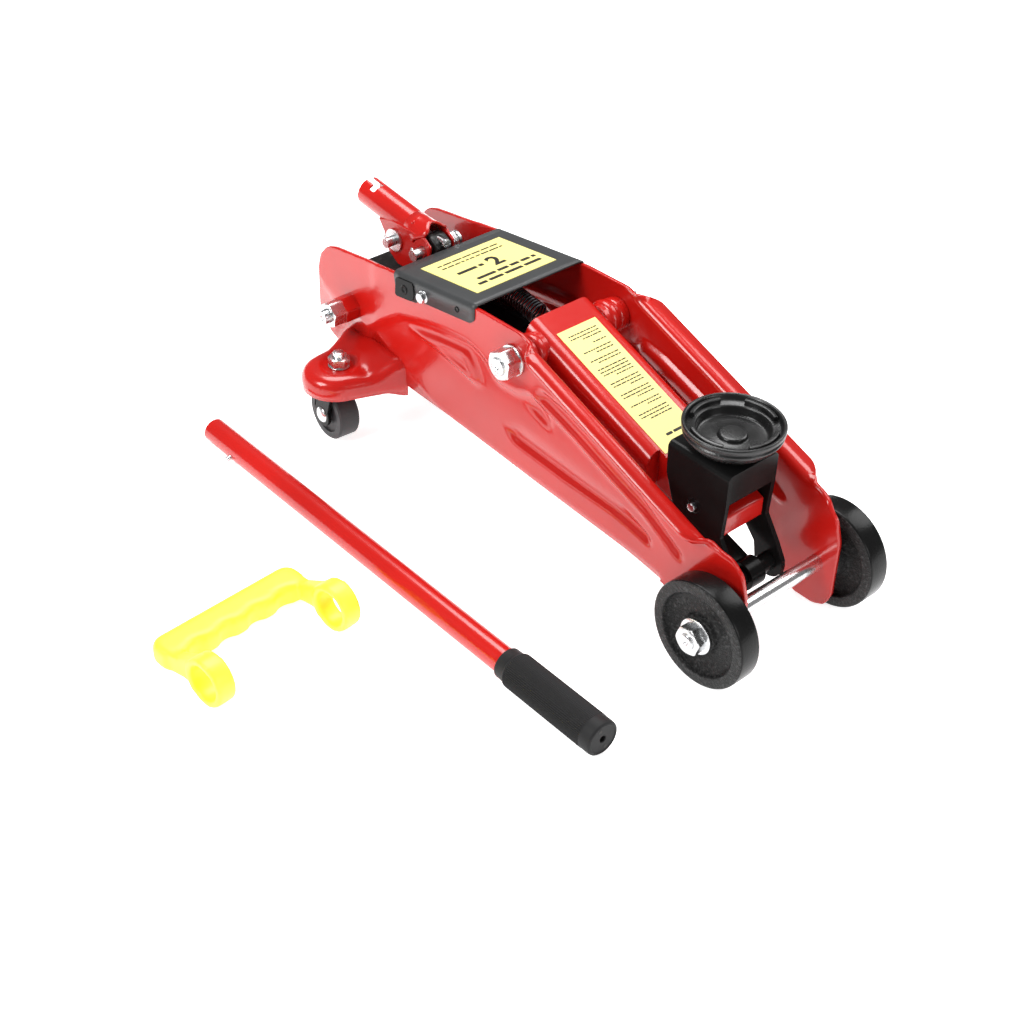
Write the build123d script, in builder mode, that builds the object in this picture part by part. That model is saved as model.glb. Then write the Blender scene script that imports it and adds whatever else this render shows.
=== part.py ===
"""Two-tonne trolley jack with its pump lever and clip-on carry handle.

Millimetres.  +X runs towards the front wheels, +Y to the left, +Z up from the floor.  The origin is on
the floor in the middle of the whole set.  The jack itself is drawn from its front axle: side(y), plan(z)
and cross(x) are planes whose own zero is the floor point under the middle of that axle.
"""
from build123d import *
from math import atan2, cos, hypot, radians, sin
import os

# ------------------------------------------------------------------ driving dimensions
AXLE_X = 177.9  # front axle ahead of the origin
JACK_Y = 101.8  # centre plane of the jack, left of the origin

SHEET = 2.8  # pressed steel of the side plates
INNER = 44.0  # centre plane to the inner face of a side plate
OUTER = INNER + SHEET
FLANGE_Y = 58.0  # reach of the turned-out top flange
FRONT_X = 14.4
REAR_X = -389.5

WHEEL_R = 35.4
WHEEL_IN = 50.0
WHEEL_OUT = 66.2
AXLE_R = 5.3
AXLE_Z = WHEEL_R
RUN = 0.06  # radial clearance of a running fit
GAP = 0.3  # side clearance between moving pieces

ARM_X, ARM_Z = -186.0, 126.5  # lift arm pivot
PIN_X, PIN_Z = -50.0, 80.0  # saddle bracket pivot at the front of the arm
ROD_X, ROD_Z = -20.0, 36.0  # cross rod at the foot of the bracket
PIVOT_R = 6.0
LINK_X, LINK_Z = ARM_X + ROD_X - PIN_X, ARM_Z + ROD_Z - PIN_Z  # fixed end of the levelling rod
ARM_HALF = 28.0
ARM_SHEET = 3.0
TONGUE_HALF = 17.5
EAR_R = 34.0  # pivot to the ram roller
EAR_BACK = 35.0  # degrees that the roller stands behind the plumb line

SADDLE_X = -44.5
SADDLE_Z = 135.0  # lowest height of the saddle
SADDLE_R = 31.3
BRACKET_Z = 114.0  # top of the saddle bracket
BRACKET_HALF = 21.8
BRACKET_SHEET = 3.2

RAM_Z = 95.0
RAM_R = 9.0
REAR_BOLT_X, REAR_BOLT_Z = -352.0, 88.0

PUMP_X, PUMP_Z = -318.5, 132.0  # pivot of the lever socket
PLUNGER_X, PLUNGER_Z = -348.0, 129.0
SOCKET_END_X, SOCKET_END_Z = -390.0, 146.0
SOCKET_SLOPE = 7.0
SOCKET_R = 10.4
SOCKET_BORE = 8.8
SOCKET_DEPTH = 28.0  # mouth to the stop ring that the lever butts against
STOP_BORE = 7.8
EAR_IN = 8.8
EAR_OUT = 10.8

CASTER_X, CASTER_Y = -333.5, 72.5
CASTER_TOP = 60.0
CASTER_R = 19.5
CASTER_HALF = 8.0
CASTER_TRAIL = 7.0
CASTER_YAW = 176.0  # where each castor happens to trail

LEVER_R = 8.6
GRIP_R = 11.8
LEVER_FROM, LEVER_TO = -386.0, 11.0  # the loose lever lies beside the jack
GRIP_FROM = -72.6

os.makedirs("parts", exist_ok=True)


# ------------------------------------------------------------------ planes of the jack
def side(y):
    """Upright plane along the jack at y; sketch axes are X and Z and it looks towards -Y."""
    return Plane(origin=(AXLE_X, JACK_Y + y, 0), x_dir=(1, 0, 0), z_dir=(0, -1, 0))


def plan(z):
    return Plane(origin=(AXLE_X, JACK_Y, z))


def cross(x):
    """Upright plane across the jack at x; sketch axes are Y and Z."""
    return Plane(origin=(AXLE_X + x, JACK_Y, 0), x_dir=(0, 1, 0), z_dir=(1, 0, 0))


def y_axis(x, z):
    return Axis((AXLE_X + x, JACK_Y, z), (0, 1, 0))


def disc(plane, centre, radius):
    """A round face on a plane."""
    with BuildSketch(plane) as sketch:
        with Locations(centre):
            Circle(radius)
    return sketch.sketch


def hexagon(plane, centre, across_flats, turn=0):
    with BuildSketch(plane) as sketch:
        with Locations(centre):
            RegularPolygon(across_flats / 2, 6, major_radius=False, rotation=turn)
    return sketch.sketch


def outline(plane, points, radius=0.0):
    """A closed face from its corner points, every corner rounded alike."""
    with BuildSketch(plane) as sketch:
        with BuildLine():
            Polyline(*points, close=True)
        make_face()
        if radius:
            fillet(sketch.vertices(), radius)
    return sketch.sketch


def bar(centre, radius, y_from, y_to):
    """A round bar across the jack, from one y to another."""
    with BuildPart() as rod:
        extrude(disc(side(max(y_from, y_to)), centre, radius), amount=abs(y_to - y_from))
    return rod.part


SIDES = (("right", -1), ("left", 1))

# ------------------------------------------------------------------ side plates
PLATE = [(-374, 51), (REAR_X, 72), (REAR_X, 108), (-372, 125), (-302, 135.8), (-219, 146), (-180, 147),
         (-10, 84), (1, 81.5), (10, 72), (FRONT_X, 57), (FRONT_X, 18), (11, 8.5), (2, 4.5), (-14, 4.5),
         (-46, 34.5), (-165, 41.5), (-252, 48)]
BEND_FROM = (-172.0, 144.0)
BEND_TO = (-12.0, 84.7)
BEND_LENGTH = hypot(BEND_TO[0] - BEND_FROM[0], BEND_TO[1] - BEND_FROM[1])
BEND_DIR = Vector(BEND_TO[0] - BEND_FROM[0], 0, BEND_TO[1] - BEND_FROM[1])
LIP = 6.0  # inward lip under the front of each plate

for name, sign in SIDES:
    top = Plane(origin=(AXLE_X + BEND_FROM[0], JACK_Y, BEND_FROM[1]), x_dir=BEND_DIR,
                z_dir=BEND_DIR.cross(Vector(0, 1, 0)))
    with BuildPart() as side_plate:
        extrude(outline(side(max(sign * INNER, sign * OUTER)), PLATE, 6), amount=SHEET)
        flange = [(0, sign * INNER), (12, sign * FLANGE_Y), (BEND_LENGTH - 14, sign * FLANGE_Y),
                  (BEND_LENGTH, sign * (OUTER + 2)), (BEND_LENGTH, sign * INNER)]
        extrude(outline(top, flange), amount=-SHEET)
        with BuildSketch(side(sign * (INNER - LIP / 2))):
            with BuildLine():
                Polyline((-11, 4.5), (0, 4.5), (0, 4.5 + SHEET), (-11, 4.5 + SHEET), close=True)
            make_face()
        extrude(amount=LIP / 2 + 1, both=True)
        holes = (((0, AXLE_Z), AXLE_R), ((ARM_X, ARM_Z), PIVOT_R), ((REAR_BOLT_X, REAR_BOLT_Z), 5.0))
        for centre, radius in holes:
            extrude(disc(side(OUTER + 5), centre, radius), amount=2 * OUTER + 10, mode=Mode.SUBTRACT)
    side_plate.part.label = "side_plate_" + name
    export_step(side_plate.part, "parts/side_plate_" + name + ".step")

# ------------------------------------------------------------------ front axle and wheels
NUT_AF = 17.0
AXLE_END = 75.6
NUT_OUT = 74.4
WASHER_OUT = WHEEL_OUT + 1.4

with BuildPart() as front_axle:
    add(bar((0, AXLE_Z), AXLE_R, -AXLE_END, AXLE_END))
    chamfer(front_axle.edges().filter_by(GeomType.CIRCLE), 0.8)
front_axle.part.label = "front_axle"
export_step(front_axle.part, "parts/front_axle.step")

with BuildPart() as axle_washers:
    for _, sign in SIDES:
        with BuildSketch(side(sign * (WHEEL_OUT - 0.2) if sign < 0 else WASHER_OUT)):
            with Locations((0, AXLE_Z)):
                Circle(12)
                Circle(AXLE_R, mode=Mode.SUBTRACT)
        extrude(amount=1.6)
axle_washers.part.label = "axle_washers"
export_step(axle_washers.part, "parts/axle_washers.step")

with BuildPart() as axle_nuts:
    for _, sign in SIDES:
        start = side(-WASHER_OUT if sign < 0 else NUT_OUT)
        extrude(hexagon(start, (0, AXLE_Z), NUT_AF, 12), amount=NUT_OUT - WASHER_OUT)
    extrude(disc(side(90), (0, AXLE_Z), AXLE_R), amount=180, mode=Mode.SUBTRACT)
axle_nuts.part.label = "axle_nuts"
export_step(axle_nuts.part, "parts/axle_nuts.step")

HUB_R = 12.5
WHEEL_BORE = AXLE_R + RUN
WHEEL_SECTION = [(OUTER + GAP, WHEEL_BORE), (WHEEL_OUT - 0.5, WHEEL_BORE), (WHEEL_OUT - 0.5, HUB_R),
                 (61.4, HUB_R + 1), (60.6, 26.4), (WHEEL_OUT, 28), (WHEEL_OUT, WHEEL_R - 1.2),
                 (WHEEL_OUT - 1.2, WHEEL_R), (WHEEL_IN + 1.2, WHEEL_R), (WHEEL_IN, WHEEL_R - 1.2),
                 (WHEEL_IN, 28), (55.4, 26.4), (54.6, HUB_R + 1), (OUTER + GAP, HUB_R)]
for name, sign in SIDES:
    with BuildPart() as front_wheel:
        with BuildSketch(cross(0)):
            with BuildLine():
                Polyline(*[(sign * y, AXLE_Z + r) for y, r in WHEEL_SECTION], close=True)
            make_face()
        revolve(axis=y_axis(0, AXLE_Z))
    front_wheel.part.label = "front_wheel_" + name
    export_step(front_wheel.part, "parts/front_wheel_" + name + ".step")

# ------------------------------------------------------------------ castors
CASTER_SHEET = 2.6
SHELL_ROUND = (-334.5, 75.0, 23.5)  # x, y and radius of the bracket's rounded nose
SHELL_FROM, SHELL_TO = -362.0, -298.0  # where the bracket meets the side plate
KING_R = 4.0
FORK_TOP = CASTER_TOP - CASTER_SHEET - 0.3
FORK_HALF = CASTER_HALF + 1.0
LEG = 2.2
LEG_TOP = FORK_TOP - CASTER_R
TRAIL_DIR = Vector(cos(radians(CASTER_YAW)), sin(radians(CASTER_YAW)), 0)
AXLE_DIR = Vector(-TRAIL_DIR.Y, TRAIL_DIR.X, 0)


def shell_face(plane, sign, inset):
    """Plan of a castor bracket: a round nose drawn out to the side plate."""
    with BuildSketch(plane) as sketch:
        with Locations((SHELL_ROUND[0], sign * SHELL_ROUND[1])):
            Circle(SHELL_ROUND[2])
        with Locations(((SHELL_FROM + SHELL_TO) / 2, sign * (OUTER + 1))):
            Rectangle(SHELL_TO - SHELL_FROM, 2)
        make_hull()
        if inset:
            offset(amount=-inset)
    return sketch.sketch


for name, sign in SIDES:
    king = Vector(AXLE_X + CASTER_X, JACK_Y + sign * CASTER_Y, 0)
    with BuildPart() as caster_bracket:
        extrude(shell_face(plan(CASTER_TOP - 15.5), sign, 0), amount=15.5)
        fillet(caster_bracket.edges().group_by(Axis.Z)[-1].filter_by(Plane.XZ, reverse=True), 4)
        extrude(shell_face(plan(CASTER_TOP - 20), sign, CASTER_SHEET), amount=20 - CASTER_SHEET,
                mode=Mode.SUBTRACT)
        with Locations(king + Vector(0, 0, CASTER_TOP)):
            Cylinder(KING_R, 20, mode=Mode.SUBTRACT)
    caster_bracket.part.label = "caster_bracket_" + name
    export_step(caster_bracket.part, "parts/caster_bracket_" + name + ".step")

    with BuildPart() as king_bolt:
        with BuildSketch(Plane(origin=king + Vector(0, 0, FORK_TOP - 2.7))):
            RegularPolygon(6.5, 6, major_radius=False)
        extrude(amount=-4.5)
        with BuildSketch(Plane(origin=king + Vector(0, 0, FORK_TOP - 2.7))):
            Circle(KING_R)
        extrude(amount=70.5 - FORK_TOP + 2.7)
    king_bolt.part.label = "king_bolt_" + name
    export_step(king_bolt.part, "parts/king_bolt_" + name + ".step")

    with BuildPart() as king_nut:
        with BuildSketch(Plane(origin=king + Vector(0, 0, CASTER_TOP))):
            RegularPolygon(6.5, 6, major_radius=False)
            Circle(KING_R, mode=Mode.SUBTRACT)
        extrude(amount=6.6)
    king_nut.part.label = "king_nut_" + name
    export_step(king_nut.part, "parts/king_nut_" + name + ".step")

    hub = king + TRAIL_DIR * CASTER_TRAIL + Vector(0, 0, CASTER_R)
    with BuildPart() as caster_fork:
        with BuildSketch(Plane(origin=king + Vector(0, 0, FORK_TOP))):
            Circle(13)
        extrude(amount=-2.4)
        for cheek in (-1, 1):
            face = Plane(origin=hub + AXLE_DIR * cheek * FORK_HALF, x_dir=TRAIL_DIR, z_dir=AXLE_DIR * cheek)
            down = -cheek
            with BuildSketch(face):
                with BuildLine():
                    Polyline((-CASTER_TRAIL - 10.5, down * LEG_TOP), (-CASTER_TRAIL + 10.5, down * LEG_TOP),
                             (7, down * 4), (7, down * -5), (-7, down * -5), (-7, down * 4), close=True)
                make_face()
            extrude(amount=LEG)
            extrude(disc(face, (0, 0), 8.5), amount=LEG)
        with BuildSketch(Plane(origin=king + Vector(0, 0, FORK_TOP), x_dir=TRAIL_DIR)):
            Rectangle(21, 2 * FORK_HALF + 2 * LEG)
        extrude(amount=-2.4)
        with Locations(king + Vector(0, 0, FORK_TOP)):
            Cylinder(KING_R + RUN, 20, mode=Mode.SUBTRACT)
        extrude(disc(Plane(origin=hub - AXLE_DIR * 20, x_dir=TRAIL_DIR, z_dir=AXLE_DIR), (0, 0), 3),
                amount=40, mode=Mode.SUBTRACT)
    caster_fork.part.label = "caster_fork_" + name
    export_step(caster_fork.part, "parts/caster_fork_" + name + ".step")

    spin = Plane(origin=hub - AXLE_DIR * CASTER_HALF, x_dir=TRAIL_DIR, z_dir=AXLE_DIR)
    with BuildPart() as caster_wheel:
        extrude(disc(spin, (0, 0), CASTER_R), amount=2 * CASTER_HALF)
        chamfer(caster_wheel.edges().filter_by(GeomType.CIRCLE), 1.2)
        extrude(disc(spin.offset(-1), (0, 0), 3 + RUN), amount=2 * CASTER_HALF + 2, mode=Mode.SUBTRACT)
        for start in (spin, spin.offset(2 * CASTER_HALF - 1.5)):
            with BuildSketch(start):
                Circle(14)
                Circle(6.5, mode=Mode.SUBTRACT)
            extrude(amount=1.5, mode=Mode.SUBTRACT)
    caster_wheel.part.label = "caster_wheel_" + name
    export_step(caster_wheel.part, "parts/caster_wheel_" + name + ".step")

    reach = FORK_HALF + LEG
    with BuildPart() as caster_axle:
        extrude(disc(spin.offset(CASTER_HALF - reach - 1.5), (0, 0), 3), amount=2 * reach + 3)
        for start in (CASTER_HALF - reach - 1.8, CASTER_HALF + reach):
            extrude(disc(spin.offset(start), (0, 0), 6), amount=1.8)
    caster_axle.part.label = "caster_axle_" + name
    export_step(caster_axle.part, "parts/caster_axle_" + name + ".step")

# ------------------------------------------------------------------ hydraulic unit between the plates
BLOCK_HALF = 26.0
TUBE_R = 23.0
TUBE_END = -222.0
LUG_R = 10.6
LUG_HALF = 6.4
VALVE_Z = 139.9

with BuildPart() as pump_block:
    block = [(-370, 66), (-322, 66), (-322, 112), (-370, 108)]
    extrude(outline(side(BLOCK_HALF), block, 3), amount=2 * BLOCK_HALF)
    lug = [(PUMP_X - LUG_R, 100), (-322, 100), (-322, 118.6), (PUMP_X + LUG_R, 121),
           (PUMP_X + LUG_R, PUMP_Z), (PUMP_X - LUG_R, PUMP_Z)]
    extrude(outline(side(LUG_HALF), lug), amount=2 * LUG_HALF)
    extrude(disc(side(LUG_HALF), (PUMP_X, PUMP_Z), LUG_R), amount=2 * LUG_HALF)
    for sign in (-1, 1):
        extrude(disc(side(max(sign * BLOCK_HALF, sign * INNER)), (REAR_BOLT_X, REAR_BOLT_Z), 11),
                amount=INNER - BLOCK_HALF)
        tapped = side(max(sign * 30, sign * 60))
        extrude(disc(tapped, (REAR_BOLT_X, REAR_BOLT_Z), 5), amount=30, mode=Mode.SUBTRACT)
    extrude(disc(side(20), (PUMP_X, PUMP_Z), 4), amount=40, mode=Mode.SUBTRACT)
    extrude(disc(cross(-340), (0, VALVE_Z), 2 + RUN), amount=40, mode=Mode.SUBTRACT)
    extrude(disc(plan(70), (PLUNGER_X, 0), 6 + RUN), amount=60, mode=Mode.SUBTRACT)
pump_block.part.label = "pump_block"
export_step(pump_block.part, "parts/pump_block.step")

with BuildPart() as reservoir_tube:
    with BuildSketch(cross(-322)):
        with Locations((0, RAM_Z)):
            Circle(TUBE_R)
            Circle(TUBE_R - 2, mode=Mode.SUBTRACT)
    extrude(amount=TUBE_END + 322)
reservoir_tube.part.label = "reservoir_tube"
export_step(reservoir_tube.part, "parts/reservoir_tube.step")

with BuildPart() as ram_cylinder:
    with BuildSketch(cross(-322)):
        with Locations((0, RAM_Z)):
            Circle(RAM_R + 5)
            Circle(RAM_R + RUN, mode=Mode.SUBTRACT)
    extrude(amount=TUBE_END + 322)
ram_cylinder.part.label = "ram_cylinder"
export_step(ram_cylinder.part, "parts/ram_cylinder.step")

with BuildPart() as gland_nut:
    with BuildSketch(cross(TUBE_END)):
        with Locations((0, RAM_Z)):
            RegularPolygon(21, 6, major_radius=False)
            Circle(RAM_R + RUN, mode=Mode.SUBTRACT)
    extrude(amount=6)
gland_nut.part.label = "gland_nut"
export_step(gland_nut.part, "parts/gland_nut.step")

ROLLER_R = 6.0
ear_angle = radians(EAR_BACK)
ROLLER_X = ARM_X - EAR_R * sin(ear_angle)
ROLLER_Z = ARM_Z - EAR_R * cos(ear_angle)
RAM_FACE = ROLLER_X - ROLLER_R - 1.0
with BuildPart() as ram_rod:
    extrude(disc(cross(-312), (0, RAM_Z), RAM_R), amount=RAM_FACE - 3 + 312)
    extrude(disc(cross(RAM_FACE - 3), (0, RAM_Z), 13), amount=3)
ram_rod.part.label = "ram_rod"
export_step(ram_rod.part, "parts/ram_rod.step")

with BuildPart() as rear_bolts:
    for sign in (-1, 1):
        add(bar((REAR_BOLT_X, REAR_BOLT_Z), 5, sign * 30, sign * 72))
rear_bolts.part.label = "rear_bolts"
export_step(rear_bolts.part, "parts/rear_bolts.step")

with BuildPart() as rear_spacers:
    for sign in (-1, 1):
        start = side(max(sign * OUTER, sign * 57))
        extrude(hexagon(start, (REAR_BOLT_X, REAR_BOLT_Z), 17, 20), amount=57 - OUTER)
    extrude(disc(side(80), (REAR_BOLT_X, REAR_BOLT_Z), 5), amount=160, mode=Mode.SUBTRACT)
rear_spacers.part.label = "rear_spacers"
export_step(rear_spacers.part, "parts/rear_spacers.step")

with BuildPart() as rear_nuts:
    for sign in (-1, 1):
        start = side(max(sign * 57, sign * 67))
        extrude(hexagon(start, (REAR_BOLT_X, REAR_BOLT_Z), 16, 8), amount=10)
    extrude(disc(side(80), (REAR_BOLT_X, REAR_BOLT_Z), 5), amount=160, mode=Mode.SUBTRACT)
rear_nuts.part.label = "rear_nuts"
export_step(rear_nuts.part, "parts/rear_nuts.step")

with BuildPart() as release_valve:
    extrude(disc(cross(-328), (0, VALVE_Z), 2), amount=328 - 307.9)
    with BuildSketch(cross(-307.7)):
        with Locations((0, VALVE_Z)):
            Circle(3)
            Rectangle(7, 1, mode=Mode.SUBTRACT)
    extrude(amount=2.4)
release_valve.part.label = "release_valve"
export_step(release_valve.part, "parts/release_valve.step")

with BuildPart() as pump_plunger:
    extrude(disc(plan(74), (PLUNGER_X, 0), 6), amount=40)
    head = [(-354.7, 113), (-331.3, 113), (-331.3, 135), (-354.7, 135)]
    extrude(outline(side(8.2), head, 2), amount=16.4)
    with BuildSketch(side(9)):
        with Locations((PLUNGER_X + 5, PLUNGER_Z)):
            SlotOverall(19.4, 9.4)
    extrude(amount=18, mode=Mode.SUBTRACT)
pump_plunger.part.label = "pump_plunger"
export_step(pump_plunger.part, "parts/pump_plunger.step")

# ------------------------------------------------------------------ lift arm
ARM_SLOPE = 0.375
ARM_TOP = ARM_Z + 11.5  # top of the arm above its pivot
SHOULDER = -85.0  # where the full-width channel narrows to the tongue


def arm_top(x):
    return ARM_TOP - ARM_SLOPE * (x - ARM_X)


CHANNEL = [(-196, 126), (-196, arm_top(-196)), (SHOULDER, arm_top(SHOULDER)), (SHOULDER, 76),
           (-150, 92), (-172, 104)]
TONGUE = [(-100, arm_top(-100)), (-36, arm_top(-36)), (-34, 72), (-42, 62), (-60, 66), (-100, 79)]
away = Vector(-sin(ear_angle), 0, -cos(ear_angle))
ear_side = (cos(ear_angle), -sin(ear_angle))
EAR = [(ARM_X + 11 * ear_side[0], ARM_Z + 11 * ear_side[1]),
       (ARM_X - 11 * ear_side[0], ARM_Z - 11 * ear_side[1]),
       (ROLLER_X - 9 * ear_side[0], ROLLER_Z - 9 * ear_side[1]),
       (ROLLER_X + 9 * ear_side[0], ROLLER_Z + 9 * ear_side[1])]
ARM_IN = ARM_HALF - ARM_SHEET
TONGUE_IN = TONGUE_HALF - ARM_SHEET

with BuildPart() as lift_arm:
    extrude(outline(side(ARM_HALF), CHANNEL), amount=2 * ARM_HALF)
    top_edges = lift_arm.edges().filter_by(Axis((0, 0, 0), (1, 0, -ARM_SLOPE))).group_by(Axis.Z)[-1]
    fillet(top_edges, 9)
    extrude(outline(side(TONGUE_HALF), TONGUE), amount=2 * TONGUE_HALF)
    front = SHOULDER - ARM_SHEET
    hollow = [(-200, 60), (-200, arm_top(-200) - 3.4), (front, arm_top(front) - 3.4), (front, 60)]
    extrude(outline(side(ARM_IN), hollow), amount=2 * ARM_IN, mode=Mode.SUBTRACT)
    slot = [(-110, 50), (-110, arm_top(-110) - 3.4), (-37, arm_top(-37) - 3.4), (-37, 50)]
    extrude(outline(side(TONGUE_IN), slot), amount=2 * TONGUE_IN, mode=Mode.SUBTRACT)
    for sign in (-1, 1):
        inner = sign * ARM_IN
        extrude(outline(side(max(inner, sign * ARM_HALF)), EAR), amount=ARM_SHEET)
        extrude(disc(side(max(inner, sign * ARM_HALF)), (ROLLER_X, ROLLER_Z), 9), amount=ARM_SHEET)
        boss = sign * (INNER - GAP)
        extrude(disc(side(max(inner, boss)), (ARM_X, ARM_Z), 11), amount=INNER - GAP - ARM_IN)
    extrude(disc(side(60), (ARM_X, ARM_Z), PIVOT_R + RUN), amount=120, mode=Mode.SUBTRACT)
    extrude(disc(side(60), (ROLLER_X, ROLLER_Z), 4), amount=120, mode=Mode.SUBTRACT)
    extrude(disc(side(60), (PIN_X, PIN_Z), 5 + RUN), amount=120, mode=Mode.SUBTRACT)
lift_arm.part.label = "lift_arm"
export_step(lift_arm.part, "parts/lift_arm.step")

with BuildPart() as roller_pin:
    add(bar((ROLLER_X, ROLLER_Z), 4, -30, 30))
roller_pin.part.label = "roller_pin"
export_step(roller_pin.part, "parts/roller_pin.step")

with BuildPart() as ram_roller:
    add(bar((ROLLER_X, ROLLER_Z), ROLLER_R, -ARM_IN + 0.5, ARM_IN - 0.5))
    extrude(disc(side(60), (ROLLER_X, ROLLER_Z), 4 + RUN), amount=120, mode=Mode.SUBTRACT)
ram_roller.part.label = "ram_roller"
export_step(ram_roller.part, "parts/ram_roller.step")

LABEL_T = 0.4
slope_dir = Vector(1, 0, -ARM_SLOPE).normalized()
with BuildPart() as arm_label:
    start = Plane(origin=(AXLE_X - 180, JACK_Y, arm_top(-180)), x_dir=slope_dir,
                  z_dir=slope_dir.cross(Vector(0, 1, 0)))
    with BuildSketch(start):
        Rectangle(99 * 1.068, 33, align=(Align.MIN, Align.CENTER))
    extrude(amount=LABEL_T)
arm_label.part.label = "arm_label"
export_step(arm_label.part, "parts/arm_label.step")

with BuildPart() as pivot_bolt:
    add(bar((ARM_X, ARM_Z), PIVOT_R, -61, 61))
    chamfer(pivot_bolt.edges().filter_by(GeomType.CIRCLE), 1)
pivot_bolt.part.label = "pivot_bolt"
export_step(pivot_bolt.part, "parts/pivot_bolt.step")

with BuildPart() as pivot_washers:
    for sign in (-1, 1):
        extrude(disc(side(max(sign * OUTER, sign * (OUTER + 2))), (ARM_X, ARM_Z), 12), amount=2)
    extrude(disc(side(60), (ARM_X, ARM_Z), PIVOT_R), amount=120, mode=Mode.SUBTRACT)
pivot_washers.part.label = "pivot_washers"
export_step(pivot_washers.part, "parts/pivot_washers.step")

with BuildPart() as pivot_nuts:
    for sign in (-1, 1):
        start = side(max(sign * (OUTER + 2), sign * 59.5))
        extrude(hexagon(start, (ARM_X, ARM_Z), 18, 15), amount=59.5 - OUTER - 2)
    extrude(disc(side(70), (ARM_X, ARM_Z), PIVOT_R), amount=140, mode=Mode.SUBTRACT)
pivot_nuts.part.label = "pivot_nuts"
export_step(pivot_nuts.part, "parts/pivot_nuts.step")

# ------------------------------------------------------------------ levelling rod
ROD_HALF = 6.0
with BuildPart() as tie_rod:
    run = Vector(ROD_X - LINK_X, 0, ROD_Z - LINK_Z).normalized()
    off = (-run.Z * 4.5, run.X * 4.5)
    strap = [(LINK_X + off[0], LINK_Z + off[1]), (ROD_X + off[0], ROD_Z + off[1]),
             (ROD_X - off[0], ROD_Z - off[1]), (LINK_X - off[0], LINK_Z - off[1])]
    extrude(outline(side(ROD_HALF), strap), amount=2 * ROD_HALF)
    extrude(disc(side(ROD_HALF), (LINK_X, LINK_Z), 8.5), amount=2 * ROD_HALF)
    extrude(disc(side(ROD_HALF), (ROD_X, ROD_Z), 9.5), amount=2 * ROD_HALF)
    extrude(disc(side(20), (LINK_X, LINK_Z), 5 + RUN), amount=40, mode=Mode.SUBTRACT)
    extrude(disc(side(20), (ROD_X, ROD_Z), 6 + RUN), amount=40, mode=Mode.SUBTRACT)
tie_rod.part.label = "tie_rod"
export_step(tie_rod.part, "parts/tie_rod.step")

with BuildPart() as link_pin:
    add(bar((LINK_X, LINK_Z), 5, -INNER, INNER))
link_pin.part.label = "link_pin"
export_step(link_pin.part, "parts/link_pin.step")

# ------------------------------------------------------------------ saddle bracket and saddle
BRACKET_IN = BRACKET_HALF - BRACKET_SHEET
PANEL_X = -25.6
CHEEK = [(-75, BRACKET_Z), (PANEL_X, BRACKET_Z), (PANEL_X, 92), (-27, 68), (-16, 52), (-9.5, 41),
         (-9.5, 31), (-30.5, 31), (-33, 44), (-48, 60), (-66, 70), (-74, 92)]
with BuildPart() as saddle_bracket:
    extrude(outline(side(BRACKET_HALF), CHEEK), amount=2 * BRACKET_HALF)
    fillet(saddle_bracket.edges().filter_by(Axis.X).group_by(Axis.Z)[-1], 4)
    behind, under = PANEL_X - BRACKET_SHEET, BRACKET_Z - BRACKET_SHEET
    inside = [(-90, 10), (-90, under), (behind, under), (behind, 93), (5, 93), (5, 10)]
    extrude(outline(side(BRACKET_IN), inside), amount=2 * BRACKET_IN, mode=Mode.SUBTRACT)
    for sign in (-1, 1):
        start = side(max(sign * BRACKET_IN, sign * BRACKET_HALF))
        extrude(disc(start, (ROD_X, ROD_Z), 11), amount=BRACKET_SHEET)
    extrude(disc(side(40), (PIN_X, PIN_Z), 5), amount=80, mode=Mode.SUBTRACT)
    extrude(disc(side(40), (ROD_X, ROD_Z), 6), amount=80, mode=Mode.SUBTRACT)
    extrude(disc(plan(100), (SADDLE_X, 0), 8 + RUN), amount=30, mode=Mode.SUBTRACT)
saddle_bracket.part.label = "saddle_bracket"
export_step(saddle_bracket.part, "parts/saddle_bracket.step")

with BuildPart() as bracket_pin:
    add(bar((PIN_X, PIN_Z), 5, -28, 28))
    add(bar((PIN_X, PIN_Z), 8, 24, 27))
bracket_pin.part.label = "bracket_pin"
export_step(bracket_pin.part, "parts/bracket_pin.step")

with BuildPart() as bracket_pin_clip:
    with BuildSketch(side(-22.2)):
        with Locations((PIN_X, PIN_Z)):
            Circle(8)
            Circle(5, mode=Mode.SUBTRACT)
    extrude(amount=1.5)
bracket_pin_clip.part.label = "bracket_pin_clip"
export_step(bracket_pin_clip.part, "parts/bracket_pin_clip.step")

with BuildPart() as cross_rod:
    add(bar((ROD_X, ROD_Z), 6, -25, 25))
    chamfer(cross_rod.edges().filter_by(GeomType.CIRCLE), 1)
cross_rod.part.label = "cross_rod"
export_step(cross_rod.part, "parts/cross_rod.step")

SADDLE_SECTION = [(0, 105), (8, 105), (8, BRACKET_Z + GAP), (17, BRACKET_Z + GAP), (20, 117.5), (26, 120.5),
                  (SADDLE_R, 124.5), (SADDLE_R, SADDLE_Z), (28.4, SADDLE_Z), (28.0, 131), (22.6, 131),
                  (21.8, 124.6), (8.5, 124.6), (8.5, 127.2), (0, 127.2)]
LUGS = 4
with BuildPart() as saddle_cup:
    with BuildSketch(side(0)):
        with BuildLine():
            Polyline(*[(SADDLE_X + r, z) for r, z in SADDLE_SECTION], close=True)
        make_face()
    revolve(axis=Axis((AXLE_X + SADDLE_X, JACK_Y, 0), (0, 0, 1)))
    with BuildSketch(plan(130.9)):
        with Locations((SADDLE_X, 0)):
            Circle(27.4)
            Circle(24.2, mode=Mode.SUBTRACT)
            with PolarLocations(0, LUGS, start_angle=45):
                Rectangle(40, 15, align=(Align.MIN, Align.CENTER), mode=Mode.SUBTRACT)
    extrude(amount=3.6)
saddle_cup.part.label = "saddle_cup"
export_step(saddle_cup.part, "parts/saddle_cup.step")

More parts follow.
